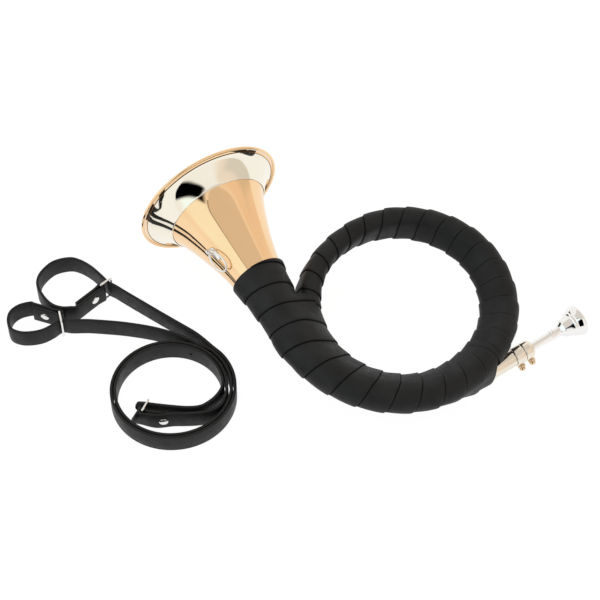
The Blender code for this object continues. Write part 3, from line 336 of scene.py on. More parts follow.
def interpolate(table, value, end_slope=None):
    """Monotone smooth curve through (position, value) pairs."""
    keys = [row[0] for row in table]
    vals = [row[1] for row in table]
    value = min(max(value, keys[0]), keys[-1])
    index = max(0, min(int(np.searchsorted(keys, value, side='right')) - 1, len(keys) - 2))
    slopes = [(vals[i + 1] - vals[i]) / (keys[i + 1] - keys[i]) for i in range(len(keys) - 1)]
    tangents = [slopes[0]]
    for left, right in zip(slopes, slopes[1:]):
        tangents.append(0.0 if left * right <= 0.0 else 2.0 * left * right / (left + right))
    tangents.append(slopes[-1] if end_slope is None else end_slope)
    span = keys[index + 1] - keys[index]
    t = (value - keys[index]) / span
    return (
        (2 * t ** 3 - 3 * t ** 2 + 1) * vals[index]
        + (t ** 3 - 2 * t ** 2 + t) * span * tangents[index]
        + (-2 * t ** 3 + 3 * t ** 2) * vals[index + 1]
        + (t ** 3 - t ** 2) * span * tangents[index + 1]
    )


def lane(winding):
    """Distance from the ring's centre and height of the tube; level and square on at the foot."""
    outward = interpolate([(row[0], row[1]) for row in LANES], winding, 0.0)
    upward = interpolate([(row[0], row[2]) for row in LANES], winding, 0.0)
    return RING_RADIUS + outward, upward


def tube_radius(winding):
    share = winding / FOOT_TURN
    return TUBE_START_RADIUS + TUBE_TAPER * share + TUBE_FLARE * share ** FLARE_POWER


def ring_point(winding):
    radius, height = lane(winding)
    angle = math.radians(START_ANGLE - winding)
    return Vector((radius * math.cos(angle), radius * math.sin(angle), height))


def outward_at(angle_degrees):
    angle = math.radians(angle_degrees)
    return Vector((math.cos(angle), math.sin(angle), 0.0))


FOOT_ANGLE = START_ANGLE - FOOT_TURN
FOOT = ring_point(FOOT_TURN)
BRANCH_OUT = outward_at(FOOT_ANGLE)
BELL_DIRECTION = Vector((BRANCH_OUT.y, -BRANCH_OUT.x, 0.0))
RIM_CENTRE = FOOT + BELL_DIRECTION * BRANCH_LENGTH
UP = Vector((0.0, 0.0, 1.0))
BELL_FRAME = axis_matrix(RIM_CENTRE, -BELL_DIRECTION, UP)
PIPE_OUT = outward_at(PIPE_BEARING - 90.0)
PIPE_DIRECTION = (
    outward_at(PIPE_BEARING) * math.cos(math.radians(PIPE_RISE))
    + UP * math.sin(math.radians(PIPE_RISE))
)
PIPE_FOOT = PIPE_OUT * PIPE_OFFSET - UP * PIPE_DROP
PIPE_FRAME = axis_matrix(PIPE_FOOT, PIPE_DIRECTION, UP)
LANE_START = START_ANGLE - (PIPE_BEARING - 90.0)
COLLAR_FROM = SLEEVE_TO + GAP
COLLAR_TO = COLLAR_FROM + COLLAR_LENGTH
RECEIVER_FROM = COLLAR_TO + GAP
RECEIVER_TO = RECEIVER_FROM + RECEIVER_LENGTH
SLIDE_RADIUS = SLEEVE_RADIUS - SLEEVE_WALL - GAP
SLIDE_TO = RECEIVER_FROM + SOCKET_DEPTH


def bell_radius(station):
    return interpolate(BELL_PROFILE, station)


def over_bell(stations, offset):
    """(distance, radius) pairs along the bell's outside, further out by the offset."""
    return [(station, bell_radius(station) + offset) for station in stations]


def tube_circle(winding, grow, room=0.0):
    """Circle of the tube at a winding, as hull_point takes it."""
    return (*lane(winding), tube_radius(winding) + grow + room, 0.0)


def hull_point(circles, angle, out, softness):
    """Point of a taut skin round circles (outward, upward, radius, reluctance).

    The rounding between two circles always lies outside the tangent they share.
    """
    cosine = math.cos(angle)
    sine = math.sin(angle)
    reach = [c[0] * cosine + c[1] * sine + c[2] - c[3] for c in circles]
    best = max(reach)
    weights = [math.exp((r - best) / softness) for r in reach]
    total = sum(weights)
    x = sum(w * (c[0] + c[2] * cosine) for w, c in zip(weights, circles)) / total
    z = sum(w * (c[1] + c[2] * sine) for w, c in zip(weights, circles)) / total
    swell = best + softness * math.log(total) - sum(w * r for w, r in zip(weights, reach)) / total
    return out * (x + swell * cosine) + UP * (z + swell * sine)


class UpperRun:
    """The ring from under the lower wrap, over the top and down to the seam."""

    length = math.radians(UPPER_FROM - SEAM_ANGLE) * RING_RADIUS

    @staticmethod
    def point(distance, angle, grow):
        ring_angle = UPPER_FROM - math.degrees(distance / RING_RADIUS)
        first = (START_ANGLE - ring_angle) % 360.0
        circles = [tube_circle(first, grow), tube_circle(first + 360.0, grow)]
        return hull_point(circles, angle, outward_at(ring_angle), TAUT)


class LowerRun:
    """The bottom of the ring and the bell branch, as far as the leather reaches."""

    start_angle = SEAM_ANGLE - SEAM_OPENING
    arc = math.radians(start_angle - FOOT_ANGLE % -360.0) * (RING_RADIUS + LOWER_OUTSET)
    length = arc + BRANCH_LENGTH - WRAP_END

    @classmethod
    def point(cls, distance, angle, grow):
        to_joint = abs(distance - cls.arc - BRANCH_LENGTH + BELL_TAIL)
        room = FERRULE_ROOM * min(1.0, max(0.0, 2.0 - to_joint / FERRULE_LENGTH))
        if distance <= cls.arc:
            span = cls.start_angle - FOOT_ANGLE % -360.0
            ring_angle = cls.start_angle - span * distance / cls.arc
            return cls.on_ring(ring_angle, angle, grow, room)
        return cls.on_branch(distance - cls.arc, angle, grow, room)

    @staticmethod
    def on_ring(ring_angle, angle, grow, room):
        first = START_ANGLE - ring_angle
        circles = [tube_circle(first + 360.0, grow), tube_circle(first + 720.0, grow, room)]
        if first > LANE_START:
            circles.append(tube_circle(first, grow))
        else:
            along = PIPE_OFFSET * math.tan(math.radians(ring_angle - PIPE_BEARING + 90.0))
            centre = PIPE_FRAME @ Vector((along, 0.0, 0.0))
            sleeved = min(1.0, max(0.0, along / SLEEVE_FROM * 2.0))
            size = TUBE_START_RADIUS + (SLEEVE_RADIUS - TUBE_START_RADIUS) * sleeved + grow
            circles.append((math.hypot(centre.x, centre.y), centre.z, size, 0.0))
        return hull_point(circles, angle, outward_at(ring_angle), TAUT)

    @staticmethod
    def on_branch(along, angle, grow, room):
        foot_radius = math.hypot(FOOT.x, FOOT.y)
        station = BRANCH_LENGTH - along
        if station > BELL_TAIL:
            share = along / (BRANCH_LENGTH - BELL_TAIL)
            start = tube_radius(FOOT_TURN)
            bore = start + (interpolate(BELL_PROFILE, BELL_TAIL) - start) * share
        else:
            bore = bell_radius(station)
        circles = [(foot_radius, FOOT.z, bore + grow + room, 0.0)]
        leave = max(0.0, (along - WEB_FROM) / (WEB_TO - WEB_FROM))
        turn_back = math.degrees(math.asin(min(0.9, along / RING_RADIUS)))
        for winding in (FOOT_TURN - 720.0, FOOT_TURN - 360.0):
            radius, height, size, _ = tube_circle(winding + turn_back, grow)
            outward = math.sqrt(max(0.0, radius ** 2 - along ** 2))
            circles.append((outward, height, size, leave * WEB_RELUCTANCE))
        softness = TAUT + (SLACK - TAUT) * min(1.0, along / WEB_FROM)
        return hull_point(circles, angle, BRANCH_OUT, softness) + BELL_DIRECTION * along


def ring_profile(start, end, inner, outer):
    return (start, inner), (start, outer), (end, outer), (end, inner)


def screw_frame(distance):
    """Frame of a clamp screw: +X outward from the pipe's axis."""
    tilt = math.radians(SCREW_TILT)
    side = UP.cross(PIPE_DIRECTION).normalized() * -1.0
    direction = side * math.cos(tilt) - UP * math.sin(tilt)
    direction = (direction - PIPE_DIRECTION * direction.dot(PIPE_DIRECTION)).normalized()
    return axis_matrix(PIPE_FRAME @ Vector((distance, 0.0, 0.0)), direction, PIPE_DIRECTION)


def lug_frame():
    """Frame at the ring's hinge: +X toward the leather, +Z outward from the bell."""
    tilt = math.radians(LUG_TILT)
    outward = BRANCH_OUT * math.cos(tilt) + UP * math.sin(tilt)
    height = bell_radius(LUG_STATION) + GAP + LUG_PLATE_THICKNESS + EYE_RADIUS
    origin = RIM_CENTRE - BELL_DIRECTION * LUG_STATION + outward * height
    return axis_matrix(origin, -BELL_DIRECTION, outward)


def wire_loop(centres, radius, sides):
    """Round wire on a closed flat loop of points."""
    count = len(centres)
    middle = sum(centres, Vector()) / count
    normal = (centres[0] - middle).cross(centres[count // 4] - middle).normalized()
    circle = circle_points(sides)
    rings = []
    for i, centre in enumerate(centres):
        along = (centres[(i + 1) % count] - centres[i - 1]).normalized()
        side = along.cross(normal)
        corner = (centres[(i + 1) % count] - centre).angle(centre - centres[i - 1])
        stretch = 1.0 / math.cos(min(corner, SHARPEST_MITRE) * 0.5)
        rings.append([
            centre + side * (radius * stretch * cosine) + normal * (radius * sine)
            for cosine, sine in circle
        ])
    return loft(rings, closed=True)


def lifted(points, lifts):
    """Plan points with the strap's lower edge raised; lifts are shares of the full lift."""
    return [Vector((point[0], point[1], STRAP_LIFT * lift)) for point, lift in zip(points, lifts)]


def in_coil(points):
    """Plan points from shares of the coil's radius about its centre."""
    return [(COIL_CENTRE[0] + COIL_RADIUS * x, COIL_CENTRE[1] + COIL_RADIUS * y) for x, y in points]


def coil_point(bearing, inset):
    radius = COIL_RADIUS - inset - COIL_PITCH * (COIL_FROM - bearing) / 360.0
    return (
        COIL_CENTRE[0] + radius * COIL_STRETCH * math.cos(math.radians(bearing)),
        COIL_CENTRE[1] + radius * math.sin(math.radians(bearing)),
    )


def coil_route(inset, last):
    count = round((COIL_FROM - last) / COIL_STEP)
    points = [
        coil_point(COIL_FROM + (last - COIL_FROM) * k / count, inset) for k in range(count + 1)
    ]
    return lifted(points, [0.0] * len(points))


class Fold:
    """A strap end folded round a slider's bar and riveted to itself."""

    def __init__(self, layout, place):
        arrival, width, lean, self.curve, hand, self.rivet_at, self.tail, self.free = layout[1:]
        self.bar = Vector((place[0], place[1], STRAP_LIFT))
        self.toward = outward_at(arrival)
        self.side = Vector((self.toward.y, -self.toward.x, 0.0)) * hand
        self.width = outward_at(width)
        self.lean = Vector((self.width.y, -self.width.x, 0.0)) * math.tan(math.radians(lean))

    def at(self, along, across):
        """Point of the folded strap: distance toward the bar's far side, then to its own side."""
        half = self.curve * max(-along - FOLD_FLAT, 0.0) * 0.5
        straight = self.bar + self.toward * max(along, -FOLD_FLAT)
        chord = math.sin(half) / half if half else 1.0
        curved = self.toward * (min(along + FOLD_FLAT, 0.0) * chord)
        middle = straight + Matrix.Rotation(half, 3, 'Z') @ curved
        return middle + Matrix.Rotation(half * 2.0, 3, 'Z') @ (self.side * across)

    def route(self):
        """From the tail's tip, round the bar and back to where the strap is free."""
        bend = SLIDER_WIRE + GAP + STRAP_THICKNESS * 0.5
        layer = STRAP_THICKNESS * 0.5 + GAP
        middle = -(self.tail + FOLD_FLAT) * 0.5
        points = [
            (-self.tail, layer), (middle, layer), (-FOLD_FLAT, layer),
            (-FOLD_START, (layer + bend) * 0.5),
        ]
        for degrees in (75.0, 45.0, 15.0, -15.0, -45.0, -75.0):
            angle = math.radians(degrees)
            points.append((bend * math.cos(angle), bend * math.sin(angle)))
        points += [
            (-FOLD_START, (layer + bend) * -0.5), (-FOLD_FLAT, -layer), (middle, -layer),
            (-self.free, -layer),
        ]
        return [self.at(along, across) for along, across in points]

    def leaning(self, point):
        """How far the strap's upper edge stands off its middle here, for each metre of height."""
        away = ((point - self.bar) * Vector((1.0, 1.0, 0.0))).length
        return self.lean * min(1.0, max(0.0, (LEAN_REACH - away) / LEAN_FADE))

    def passage(self):
        return self.bar + self.width * SLIDER_PASS

    def slider_matrix(self):
        across = self.width * (SLIDER_WIDTH * 0.5 - SLIDER_WIRE)
        middle = self.bar + across + UP * (STRAP_WIDTH * 0.5)
        return axis_matrix(middle, self.width, UP + self.lean)

    def rivet_matrix(self):
        middle = self.at(-self.rivet_at, 0.0)
        across = self.at(-self.rivet_at, 1.0) - middle
        return axis_matrix(middle + UP * (STRAP_WIDTH * 0.5), across, UP)


UPRIGHT = Vector(HORN_UP).rotation_difference(UP).to_matrix().to_4x4()
HORN = Matrix.Translation(HORN_AT) @ UPRIGHT
STRAP = Matrix.Translation(STRAP_AT)
BELL_PLACE = HORN @ BELL_FRAME

# Finer forms than the solids have
BELL_SIDES = 160
RIM_SIDES = 180
WIRE_SIDES = 16
BEAD_DEPTH = 0.0004  # rolled edge of the garland
BEAD_RISE = 0.0003
BEAD_HEIGHT = 0.00045
SEAM_BEAD = 0.00022  # dark line between garland and rim wire
CUT_BEARING = math.radians(20.0)  # where the leather's last turn is cut, below the outer side
LOWER_SLANTS = (0.0075, 0.0035)  # lower wrap drawn back at the mouthpipe and at the bell
SKIN_SHARES = (0.0, 0.02, 0.05, 0.12, 0.25, 0.4, 0.55, 0.7, 0.84, 0.93, 0.965, 1.0)
FOOT_FROM = 0.96  # share of a turn where its foot begins
SHANK_EASE = 0.00018
CUP_EASE = 0.0010
KNURLS = ((0.0009, 0.0019), (0.0029, 0.0043))  # ribbed lengths of a screw's head
KNURL_DEPTH = 0.00018
STRAP_EASE = 0.0006
STRAP_TIP = 0.12  # height left at the very tip
SLIDER_TURN = 0.0016  # corner radius of a slider's wire

# Looks
# Painted shade: near black laid in the crease at the foot of each leather turn
CREASE_SHADE_COLOUR = (0.0008, 0.0008, 0.0008)
SEAM_ROUGHNESS = (0.95, 0.95, 0.95)
LEATHER_SPECULAR = 0.26
FLOOR_EDGE = 9.0
FLOOR_HEIGHT = -0.0002
FLOOR_GLOW = 1.04
GLOW_TO_CAMERA = 0.93
GLOW_TO_MIRRORS = 0.80

# Studio round the object: colour, span of bearings, span of heights, softness, all in degrees
CARDS = (
    ((0.74, 0.69, 0.63), (-200.0, 200.0), (52.0, 100.0), 1.5),
    ((1.03, 1.14, 1.14), (-172.0, -108.0), (10.0, 50.0), 6.0),
    ((0.90, 0.78, 0.67), (-40.0, 42.0), (-10.0, 50.0), 9.0),
    ((0.74, 0.68, 0.60), (-28.0, 24.0), (-12.0, 26.0), 7.0),
    ((0.30, 0.27, 0.24), (-160.0, -95.0), (50.5, 52.5), 0.8),
    ((0.0, 0.0, 0.0), (-106.0, -77.0), (-10.0, 47.0), 4.0),
)


# Materials

def add_node(tree, kind, inputs, **settings):
    """New shader node; inputs holds values and, where a socket is given, links to it."""
    node = tree.nodes.new("ShaderNode" + kind)
    for key, value in settings.items():
        setattr(node, key, value)
    for key, value in inputs.items():
        if isinstance(value, bpy.types.NodeSocket):
            tree.links.new(value, node.inputs[key])
        else:
            node.inputs[key].default_value = value
    return node


def maths(tree, operation, *inputs):
    return add_node(tree, "Math", dict(enumerate(inputs)), operation=operation).outputs["Value"]


def mixed(tree, factor, under, over):
    """The colour over laid on the socket under, by factor."""
    node = add_node(tree, "Mix", {"Factor": factor, 6: under, 7: (*over, 1.0)}, data_type='RGBA')
    return node.outputs[2]


def new_material(name):
    material = bpy.data.materials.new(name)
    material.use_nodes = True
    tree = material.node_tree
    tree.nodes.clear()
    shader = add_node(tree, "BsdfPrincipled", {})
    add_node(tree, "OutputMaterial", {"Surface": shader.outputs["BSDF"]})
    return material, tree, shader


def noise(tree, scale, detail, stretch=(1.0, 1.0, 1.0), roughness=0.5):
    """Noise in the frame's own metres; scale is in waves per metre."""
    place = add_node(tree, "TexCoord", {})
    mapping = add_node(tree, "Mapping", {"Vector": place.outputs["Object"], "Scale": stretch})
    texture = add_node(tree, "TexNoise", {
        "Vector": mapping.outputs["Vector"], "Scale": scale, "Detail": detail,
        "Roughness": roughness,
    })
    return texture.outputs["Fac"]


def ramp(tree, value, stops):
    """Colour ramp through (position, grey or colour) pairs."""
    node = add_node(tree, "ValToRGB", {"Fac": value})
    elements = node.color_ramp.elements
    while len(elements) < len(stops):
        elements.new(0.5)
    for element, (position, colour) in zip(elements, stops):
        element.position = position
        grey = isinstance(colour, float)
        element.color = (colour, colour, colour, 1.0) if grey else (*colour, 1.0)
    return node.outputs["Color"]


def bump(tree, shader, height, distance, strength, previous=None):
    inputs = {"Strength": strength, "Distance": distance, "Height": height}
    if previous is not None:
        inputs["Normal"] = previous
    normal = add_node(tree, "Bump", inputs).outputs["Normal"]
    tree.links.new(normal, shader.inputs["Normal"])
    return normal


def polished(name, light, dark, low, high, lacquer=0.0):
    """Polished metal: faint colour drift, smears in the gloss and fine polishing marks."""
    material, tree, shader = new_material(name)
    shader.inputs["Metallic"].default_value = 1.0
    shader.inputs["Coat Weight"].default_value = lacquer
    shader.inputs["Coat Roughness"].default_value = 0.06
    drift = noise(tree, 22.0, 3.0)
    tree.links.new(ramp(tree, drift, ((0.35, dark), (0.65, light))), shader.inputs["Base Color"])
    smears = noise(tree, 90.0, 5.0, (1.0, 1.0, 0.25))
    tree.links.new(ramp(tree, smears, ((0.3, low), (0.75, high))), shader.inputs["Roughness"])
    marks = noise(tree, 2600.0, 2.0, (1.0, 0.06, 1.0))
    bump(tree, shader, marks, 0.000004, 0.25)
    return material


def leather(name, dark, light, low, high, grain=0.00006, crease=0.0004, scale=1500.0, crease_shade=False):
    """Smooth leather: fine pebbled grain, shallow creases, gloss worn unevenly.

    The last flag paints shade and dulls the gloss along the foot of each turn, in its crease.
    """
    material, tree, shader = new_material(name)
    shade = noise(tree, 60.0, 6.0)
    colour = ramp(tree, shade, ((0.3, dark), (0.72, light)))
    gloss = noise(tree, 140.0, 5.0, (1.0, 1.0, 1.0), 0.6)
    dull = ramp(tree, gloss, ((0.3, low), (0.7, high)))
    if crease_shade:
        foot = add_node(tree, "Attribute", {}, attribute_name="foot").outputs["Fac"]
        # painted shade in the crease at the foot of each turn
        colour = mixed(tree, foot, colour, CREASE_SHADE_COLOUR)
        dull = mixed(tree, foot, dull, SEAM_ROUGHNESS)
    tree.links.new(colour, shader.inputs["Base Color"])
    tree.links.new(dull, shader.inputs["Roughness"])
    shader.inputs["Specular IOR Level"].default_value = LEATHER_SPECULAR
    place = add_node(tree, "TexCoord", {})
    pebbles = add_node(tree, "TexVoronoi", {"Vector": place.outputs["Object"], "Scale": scale},
                       feature='DISTANCE_TO_EDGE')
    first = bump(tree, shader, pebbles.outputs["Distance"], grain, 0.5)
    wrinkles = noise(tree, 85.0, 6.0, (1.0, 1.0, 1.6), 0.55)
    bump(tree, shader, wrinkles, crease, 0.35, first)
    return material


# Pieces

def add_object(name, data):
    item = bpy.data.objects.new(name, data)
    bpy.context.scene.collection.objects.link(item)
    return item


def solid(name, mesh_data, matrix):
    """Object whose place is in its mesh."""
    mesh = bpy.data.meshes.new(name)
    mesh_data.to_mesh(mesh)
    mesh_data.free()
    mesh.transform(matrix)
    return add_object(name, mesh)


def piece(name, mesh_data, material, nodes, matrix, sharp=32.0, body="horn"):
    bmesh.ops.remove_doubles(mesh_data, verts=mesh_data.verts, dist=2e-7)
    bmesh.ops.recalc_face_normals(mesh_data, faces=mesh_data.faces)
    item = solid(name, mesh_data, matrix)
    item.data.shade_smooth()
    item.data.set_sharp_from_angle(angle=math.radians(sharp))
    item.data.materials.append(material)
    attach(item, body)
    if nodes:
        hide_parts(*nodes)
    return item


def carved(item, cutter_data, matrix):
    """Cut a closed shape out of a piece and keep the result as its mesh."""
    cutter = solid("cutter", cutter_data, matrix)
    modifier = item.modifiers.new("cut", 'BOOLEAN')
    modifier.object = cutter
    modifier.solver = 'EXACT'
    bpy.context.view_layer.update()
    evaluated = item.evaluated_get(bpy.context.evaluated_depsgraph_get())
    result = bpy.data.meshes.new_from_object(evaluated)
    item.modifiers.clear()
    item.data = result
    bpy.data.objects.remove(cutter)


def rounded(profile, radius, steps=3):
    """Closed profile with its corners eased by one radius, or by a list with one for each."""
    points = [Vector(point) for point in profile]
    result = []
    count = len(points)
    for i, point in enumerate(points):
        before = points[i - 1] - point
        after = points[(i + 1) % count] - point
        ease = radius[i] if isinstance(radius, list) else radius
        room = min(ease, before.length * 0.45, after.length * 0.45)
        start = point + before.normalized() * room
        end = point + after.normalized() * room
        if room < 1e-7 or before.angle(after, math.pi) > math.radians(165.0):
            result.append(tuple(point))
            continue
        for k in range(steps + 1):
            t = k / steps
            result.append(tuple(start.lerp(point, t).lerp(point.lerp(end, t), t)))
    return result


def fine_stations(low, high, step):
    count = max(2, math.ceil((high - low) / step))
    return [low + (high - low) * k / count for k in range(count + 1)]


def dress_bell(gold, silver, dark_line):
    stations = fine_stations(0.0, BELL_TAIL, 0.0016)
    shell = over_bell(stations, 0.0) + over_bell(stations[::-1], -BELL_WALL)
    piece("bell_shell", turned(shell, BELL_SIDES, closed=True), gold, ["bell"],
          BELL_PLACE)
    stations = fine_stations(RIM_WIRE_RADIUS, GARLAND_LENGTH - 0.0006, 0.0008)
    outer = over_bell(stations, GAP + GARLAND_WALL)
    bead = [
        (GARLAND_LENGTH - BEAD_DEPTH + BEAD_DEPTH * math.sin(t),
         bell_radius(GARLAND_LENGTH) + GAP + BEAD_RISE + BEAD_HEIGHT * math.cos(t))
        for t in (0.0, 0.5, 1.0, 1.57, 2.2)
    ]
    inner = over_bell(stations[::-1], GAP * 0.3)
    piece("garland", turned(outer + bead + inner, BELL_SIDES, closed=True), silver,
          ["bell_garland"], BELL_PLACE, 50.0)
    centre = bell_radius(0.0) + RIM_WIRE_RADIUS + GAP
    ring = round_section(-GAP, centre, RIM_WIRE_RADIUS, 20)
    piece("rim", turned(ring, RIM_SIDES, closed=True), gold, ["rim_wire"],
          BELL_PLACE)
    station = RIM_WIRE_RADIUS * 0.95
    reach = bell_radius(station) + GAP + GARLAND_WALL + 0.00005
    bead = round_section(station, reach, SEAM_BEAD, 8)
    piece("rim_seam", turned(bead, RIM_SIDES, closed=True), dark_line, [], BELL_PLACE)


def skin_height(share):
    """Height of a turn over the metal: rounded free edge, then falling to the next turn."""
    edge = 1.0 - 0.28 * math.exp(-share / 0.022)
    crown = 0.12 * math.sin(math.pi * min(1.0, share * 1.1))
    return LEATHER_BASE + LEATHER_STEP * ((1.0 - share) * edge + crown * (1.0 - share))


def in_order(items, place):
    """Sort mesh elements by their place, as the extrusion leaves them in another order each run."""
    ranks = {item: rank for rank, item in enumerate(sorted(items, key=place))}
    items.sort(key=ranks.get)


def wound_leather(run, turns, sides, slants=(0.0, 0.0)):
    """Helical turns of the leather strip in fine rows, with its end faces turned in.

    slants is how far the ends are drawn back: the first on the outer side only, where the
    last turn is cut, the second all round.
    """
    pitch = run.length / turns
    skin = bmesh.new()
    layers = skin.verts.layers.float
    along_layer, angle_layer, foot_layer = map(layers.new, ("along", "angle", "foot"))
    made = {}

    def vertex(row, share):
        place = pitch * (row / sides + share)
        angle = -TAU * (row % sides) / sides
        outer = max(0.0, math.cos(angle + CUT_BEARING)) ** 3
        inside = min(max(place, slants[0] * outer), run.length - slants[1])
        fall = min(1.0, max(0.0, inside / pitch - row / sides))
        height = skin_height(fall)
        key = (row % sides, round(inside, 7), round(height, 7))
        if key not in made:
            item = skin.verts.new(run.point(inside, angle, height + WRAP_CLEARANCE))
            item[along_layer] = inside
            item[angle_layer] = angle
            item[foot_layer] = 1.0 if share > FOOT_FROM else 0.0
            made[key] = item
        return made[key]

    def face(*places):
        corners = [vertex(row, share) for row, share in places]
        reach = [item[along_layer] for item in corners]
        if max(reach) - min(reach) < 1e-9:
            return
        unique = list(dict.fromkeys(corners))
        if len(unique) >= 3:
            skin.faces.new(unique)

    for row in range(-sides - 1, (turns + 1) * sides):
        for low, high in zip(SKIN_SHARES, SKIN_SHARES[1:]):
            face((row, low), (row + 1, low), (row + 1, high), (row, high))
        face((row, 1.0), (row + 1, 1.0), (row + 1 + sides, 0.0), (row + sides, 0.0))
    bmesh.ops.remove_doubles(skin, verts=skin.verts, dist=1e-6)
    border = [edge for edge in skin.edges if edge.is_boundary]
    grown = bmesh.ops.extrude_edge_only(skin, edges=border)
    for item in grown["geom"]:
        if isinstance(item, bmesh.types.BMVert):
            item.co = run.point(item[along_layer], item[angle_layer], -GAP)
    in_order(skin.verts, lambda vert: tuple(vert.co))
    in_order(skin.faces, lambda face: tuple(face.calc_center_median()))
    return skin


def dress_wraps(hide):
    piece("leather_upper", wound_leather(UpperRun, UPPER_TURNS, 72), hide,
          ["upper_wrap"], HORN, 40.0)
    piece("leather_lower", wound_leather(LowerRun, LOWER_TURNS, 96, LOWER_SLANTS), hide,
          ["lower_wrap"], HORN, 40.0)


def dress_pipe(silver, plate, brass):
    pipe = HORN @ PIPE_FRAME
    slide_fit = SLIDE_RADIUS + GAP * 0.5
    seat = MOUTHPIECE_PROFILE[1][1] + GAP * 0.4
    sleeve = ring_profile(SLEEVE_FROM, SLEEVE_TO, SLEEVE_RADIUS - SLEEVE_WALL, SLEEVE_RADIUS)
    collar = ring_profile(COLLAR_FROM, COLLAR_TO, slide_fit, COLLAR_RADIUS)
    tube = ring_profile(SLIDE_FROM, SLIDE_TO, SLIDE_RADIUS - SLIDE_WALL, SLIDE_RADIUS)
    receiver = (
        (RECEIVER_FROM, slide_fit), (RECEIVER_FROM, COLLAR_RADIUS - 0.0004),
        (RECEIVER_FROM + 0.0005, COLLAR_RADIUS), (RECEIVER_TO - 0.0034, COLLAR_RADIUS),
        (RECEIVER_TO - 0.0014, COLLAR_RADIUS - 0.0009), (RECEIVER_TO, COLLAR_RADIUS - 0.0028),
        (RECEIVER_TO, seat), (RECEIVER_FROM + SOCKET_DEPTH, seat),
        (RECEIVER_FROM + SOCKET_DEPTH, slide_fit),
    )
    for name, node, body, outline, sides in (
        ("sleeve", "slide_sleeve", "horn", rounded(sleeve, 0.0004), 64),
        ("collar", "clamp_collar", "horn", rounded(collar, 0.0011, 5), 72),
        ("inner_slide", "slide_tube", "tuning_slide", rounded(tube, 0.0002), 64),
        ("receiver", "receiver_collar", "tuning_slide", rounded(receiver, 0.0009, 5), 72),
    ):
        piece(name, turned(outline, sides, closed=True), silver, [node], pipe,
              body=body)
    mouth = pipe @ Matrix.Translation((RECEIVER_TO, 0.0, 0.0))
    outline = list(MOUTHPIECE_PROFILE) + list(CUP_PROFILE)
    widest = max(MOUTHPIECE_PROFILE, key=lambda row: row[1])
    fine = MOUTHPIECE_PROFILE.index(widest) - 1
    eases = [SHANK_EASE if i < fine else CUP_EASE for i in range(len(outline))]
    piece("mouthpiece_body", turned(rounded(outline, eases, 4), 96, closed=True), plate,
          ["mouthpiece"], mouth, body="mouthpiece")
    clamp = screw_frame(COLLAR_FROM + COLLAR_LENGTH * CLAMP_SCREW_AT)
    dress_screw("clamp", HORN @ clamp, SLIDE_RADIUS + GAP, brass)
    receiver = screw_frame(RECEIVER_FROM + RECEIVER_LENGTH * RECEIVER_SCREW_AT)
    dress_screw("receiver", HORN @ receiver, seat + GAP, brass)


def knurled(profile, sides, depth):
    """Turned shape whose rings are (distance, radius, share of knurl)."""
    circle = circle_points(sides)
    rings = []
    for distance, radius, share in profile:
        reaches = (radius, radius - depth * share)
        rings.append([
            Vector((distance, reaches[i % 2] * cosine, reaches[i % 2] * sine))
            for i, (cosine, sine) in enumerate(circle)
        ])
    return loft(rings, closed=True)


def dress_screw(name, place, tip, brass):
    base = COLLAR_RADIUS + GAP
    seat = base + HEAD_SOCKET
    shank = ((tip, 0.0001), (tip, SCREW_RADIUS), (seat, SCREW_RADIUS), (seat, 0.0001))
    piece(name + "_stem", turned(shank, 32, closed=True), brass,
          [name + "_screw_shank"], place, body=name + "_screw")
    profile = []
    for distance, radius in rounded([(base + d, r) for d, r in HEAD_PROFILE], 0.0002, 2):
        ribbed = any(low < distance - base < high for low, high in KNURLS)
        profile.append((distance, radius, 1.0 if ribbed else 0.0))
    profile += [
        (profile[-1][0], 0.0002, 0.0), (seat + GAP, 0.0002, 0.0),
        (seat + GAP, SCREW_RADIUS + GAP * 0.4, 0.0),
        (base, SCREW_RADIUS + GAP * 0.4, 0.0),
    ]
    piece(name + "_head", knurled(profile, 48, KNURL_DEPTH), brass,
          [name + "_screw_head"], place, 50.0, name + "_knob")


def dress_ring(plate):
    frame = lug_frame()
    to_bell = (BELL_FRAME.inverted() @ frame).to_3x3()
    outward = (to_bell @ UP).normalized()
    around = math.atan2(outward.z, outward.y)
    middle = LUG_STATION + LUG_PLATE_LENGTH * 0.16
    thick = LUG_PLATE_THICKNESS
    rings = []
    for scale, lift in (
        (0.2, 0.0), (0.98, 0.0), (1.0, thick * 0.25), (0.99, thick * 0.6), (0.94, thick * 0.9),
        (0.84, thick), (0.2, thick),
    ):
        ring = []
        for cosine, sine in circle_points(48):
            station = middle + scale * LUG_PLATE_LENGTH * 0.34 * cosine
            side = scale * LUG_PLATE_WIDTH * 0.30 * sine * (1.0 - 0.35 * cosine)
            radius = bell_radius(station) + GAP * 0.4 + lift
            turn = around + side / radius
            ring.append(Vector((station, radius * math.cos(turn), radius * math.sin(turn))))
        rings.append(ring)
    piece("lug_plate", loft(rings), plate, ["ring_lug"], BELL_PLACE)
    eye = [Vector((EYE_RADIUS * x, 0.0, EYE_RADIUS * z)) for x, z in circle_points(32)]
    piece("lug_loop", wire_loop(eye, EYE_WIRE, WIRE_SIDES), plate, [],
          HORN @ frame)
    lean = Matrix.Rotation(math.radians(STRAP_RING_REST), 4, 'Y')
    points = []
    for cosine, sine in circle_points(64):
        x = STRAP_RING_LENGTH * 0.5 * (1.0 - cosine)
        points.append(Vector((x, STRAP_RING_WIDTH * 0.5 * sine * (1.0 - 0.18 * cosine), 0.0)))
    piece("ring_wire", wire_loop(points, STRAP_RING_WIRE, WIRE_SIDES), plate,
          ["strap_ring"], HORN @ frame @ lean, body="strap_ring")


def eased_box(half_width, half_height, ease, step):
    """Corners of an upright box section, each eased in steps of that many degrees."""
    outline = []
    for side, up, first in ((1, 1, 0), (-1, 1, 90), (-1, -1, 180), (1, -1, 270)):
        for degrees in range(first, first + 91, step):
            angle = math.radians(degrees)
            outline.append((
                side * (half_width - ease) + ease * math.cos(angle),
                up * (half_height - ease) + ease * math.sin(angle),
            ))
    return outline


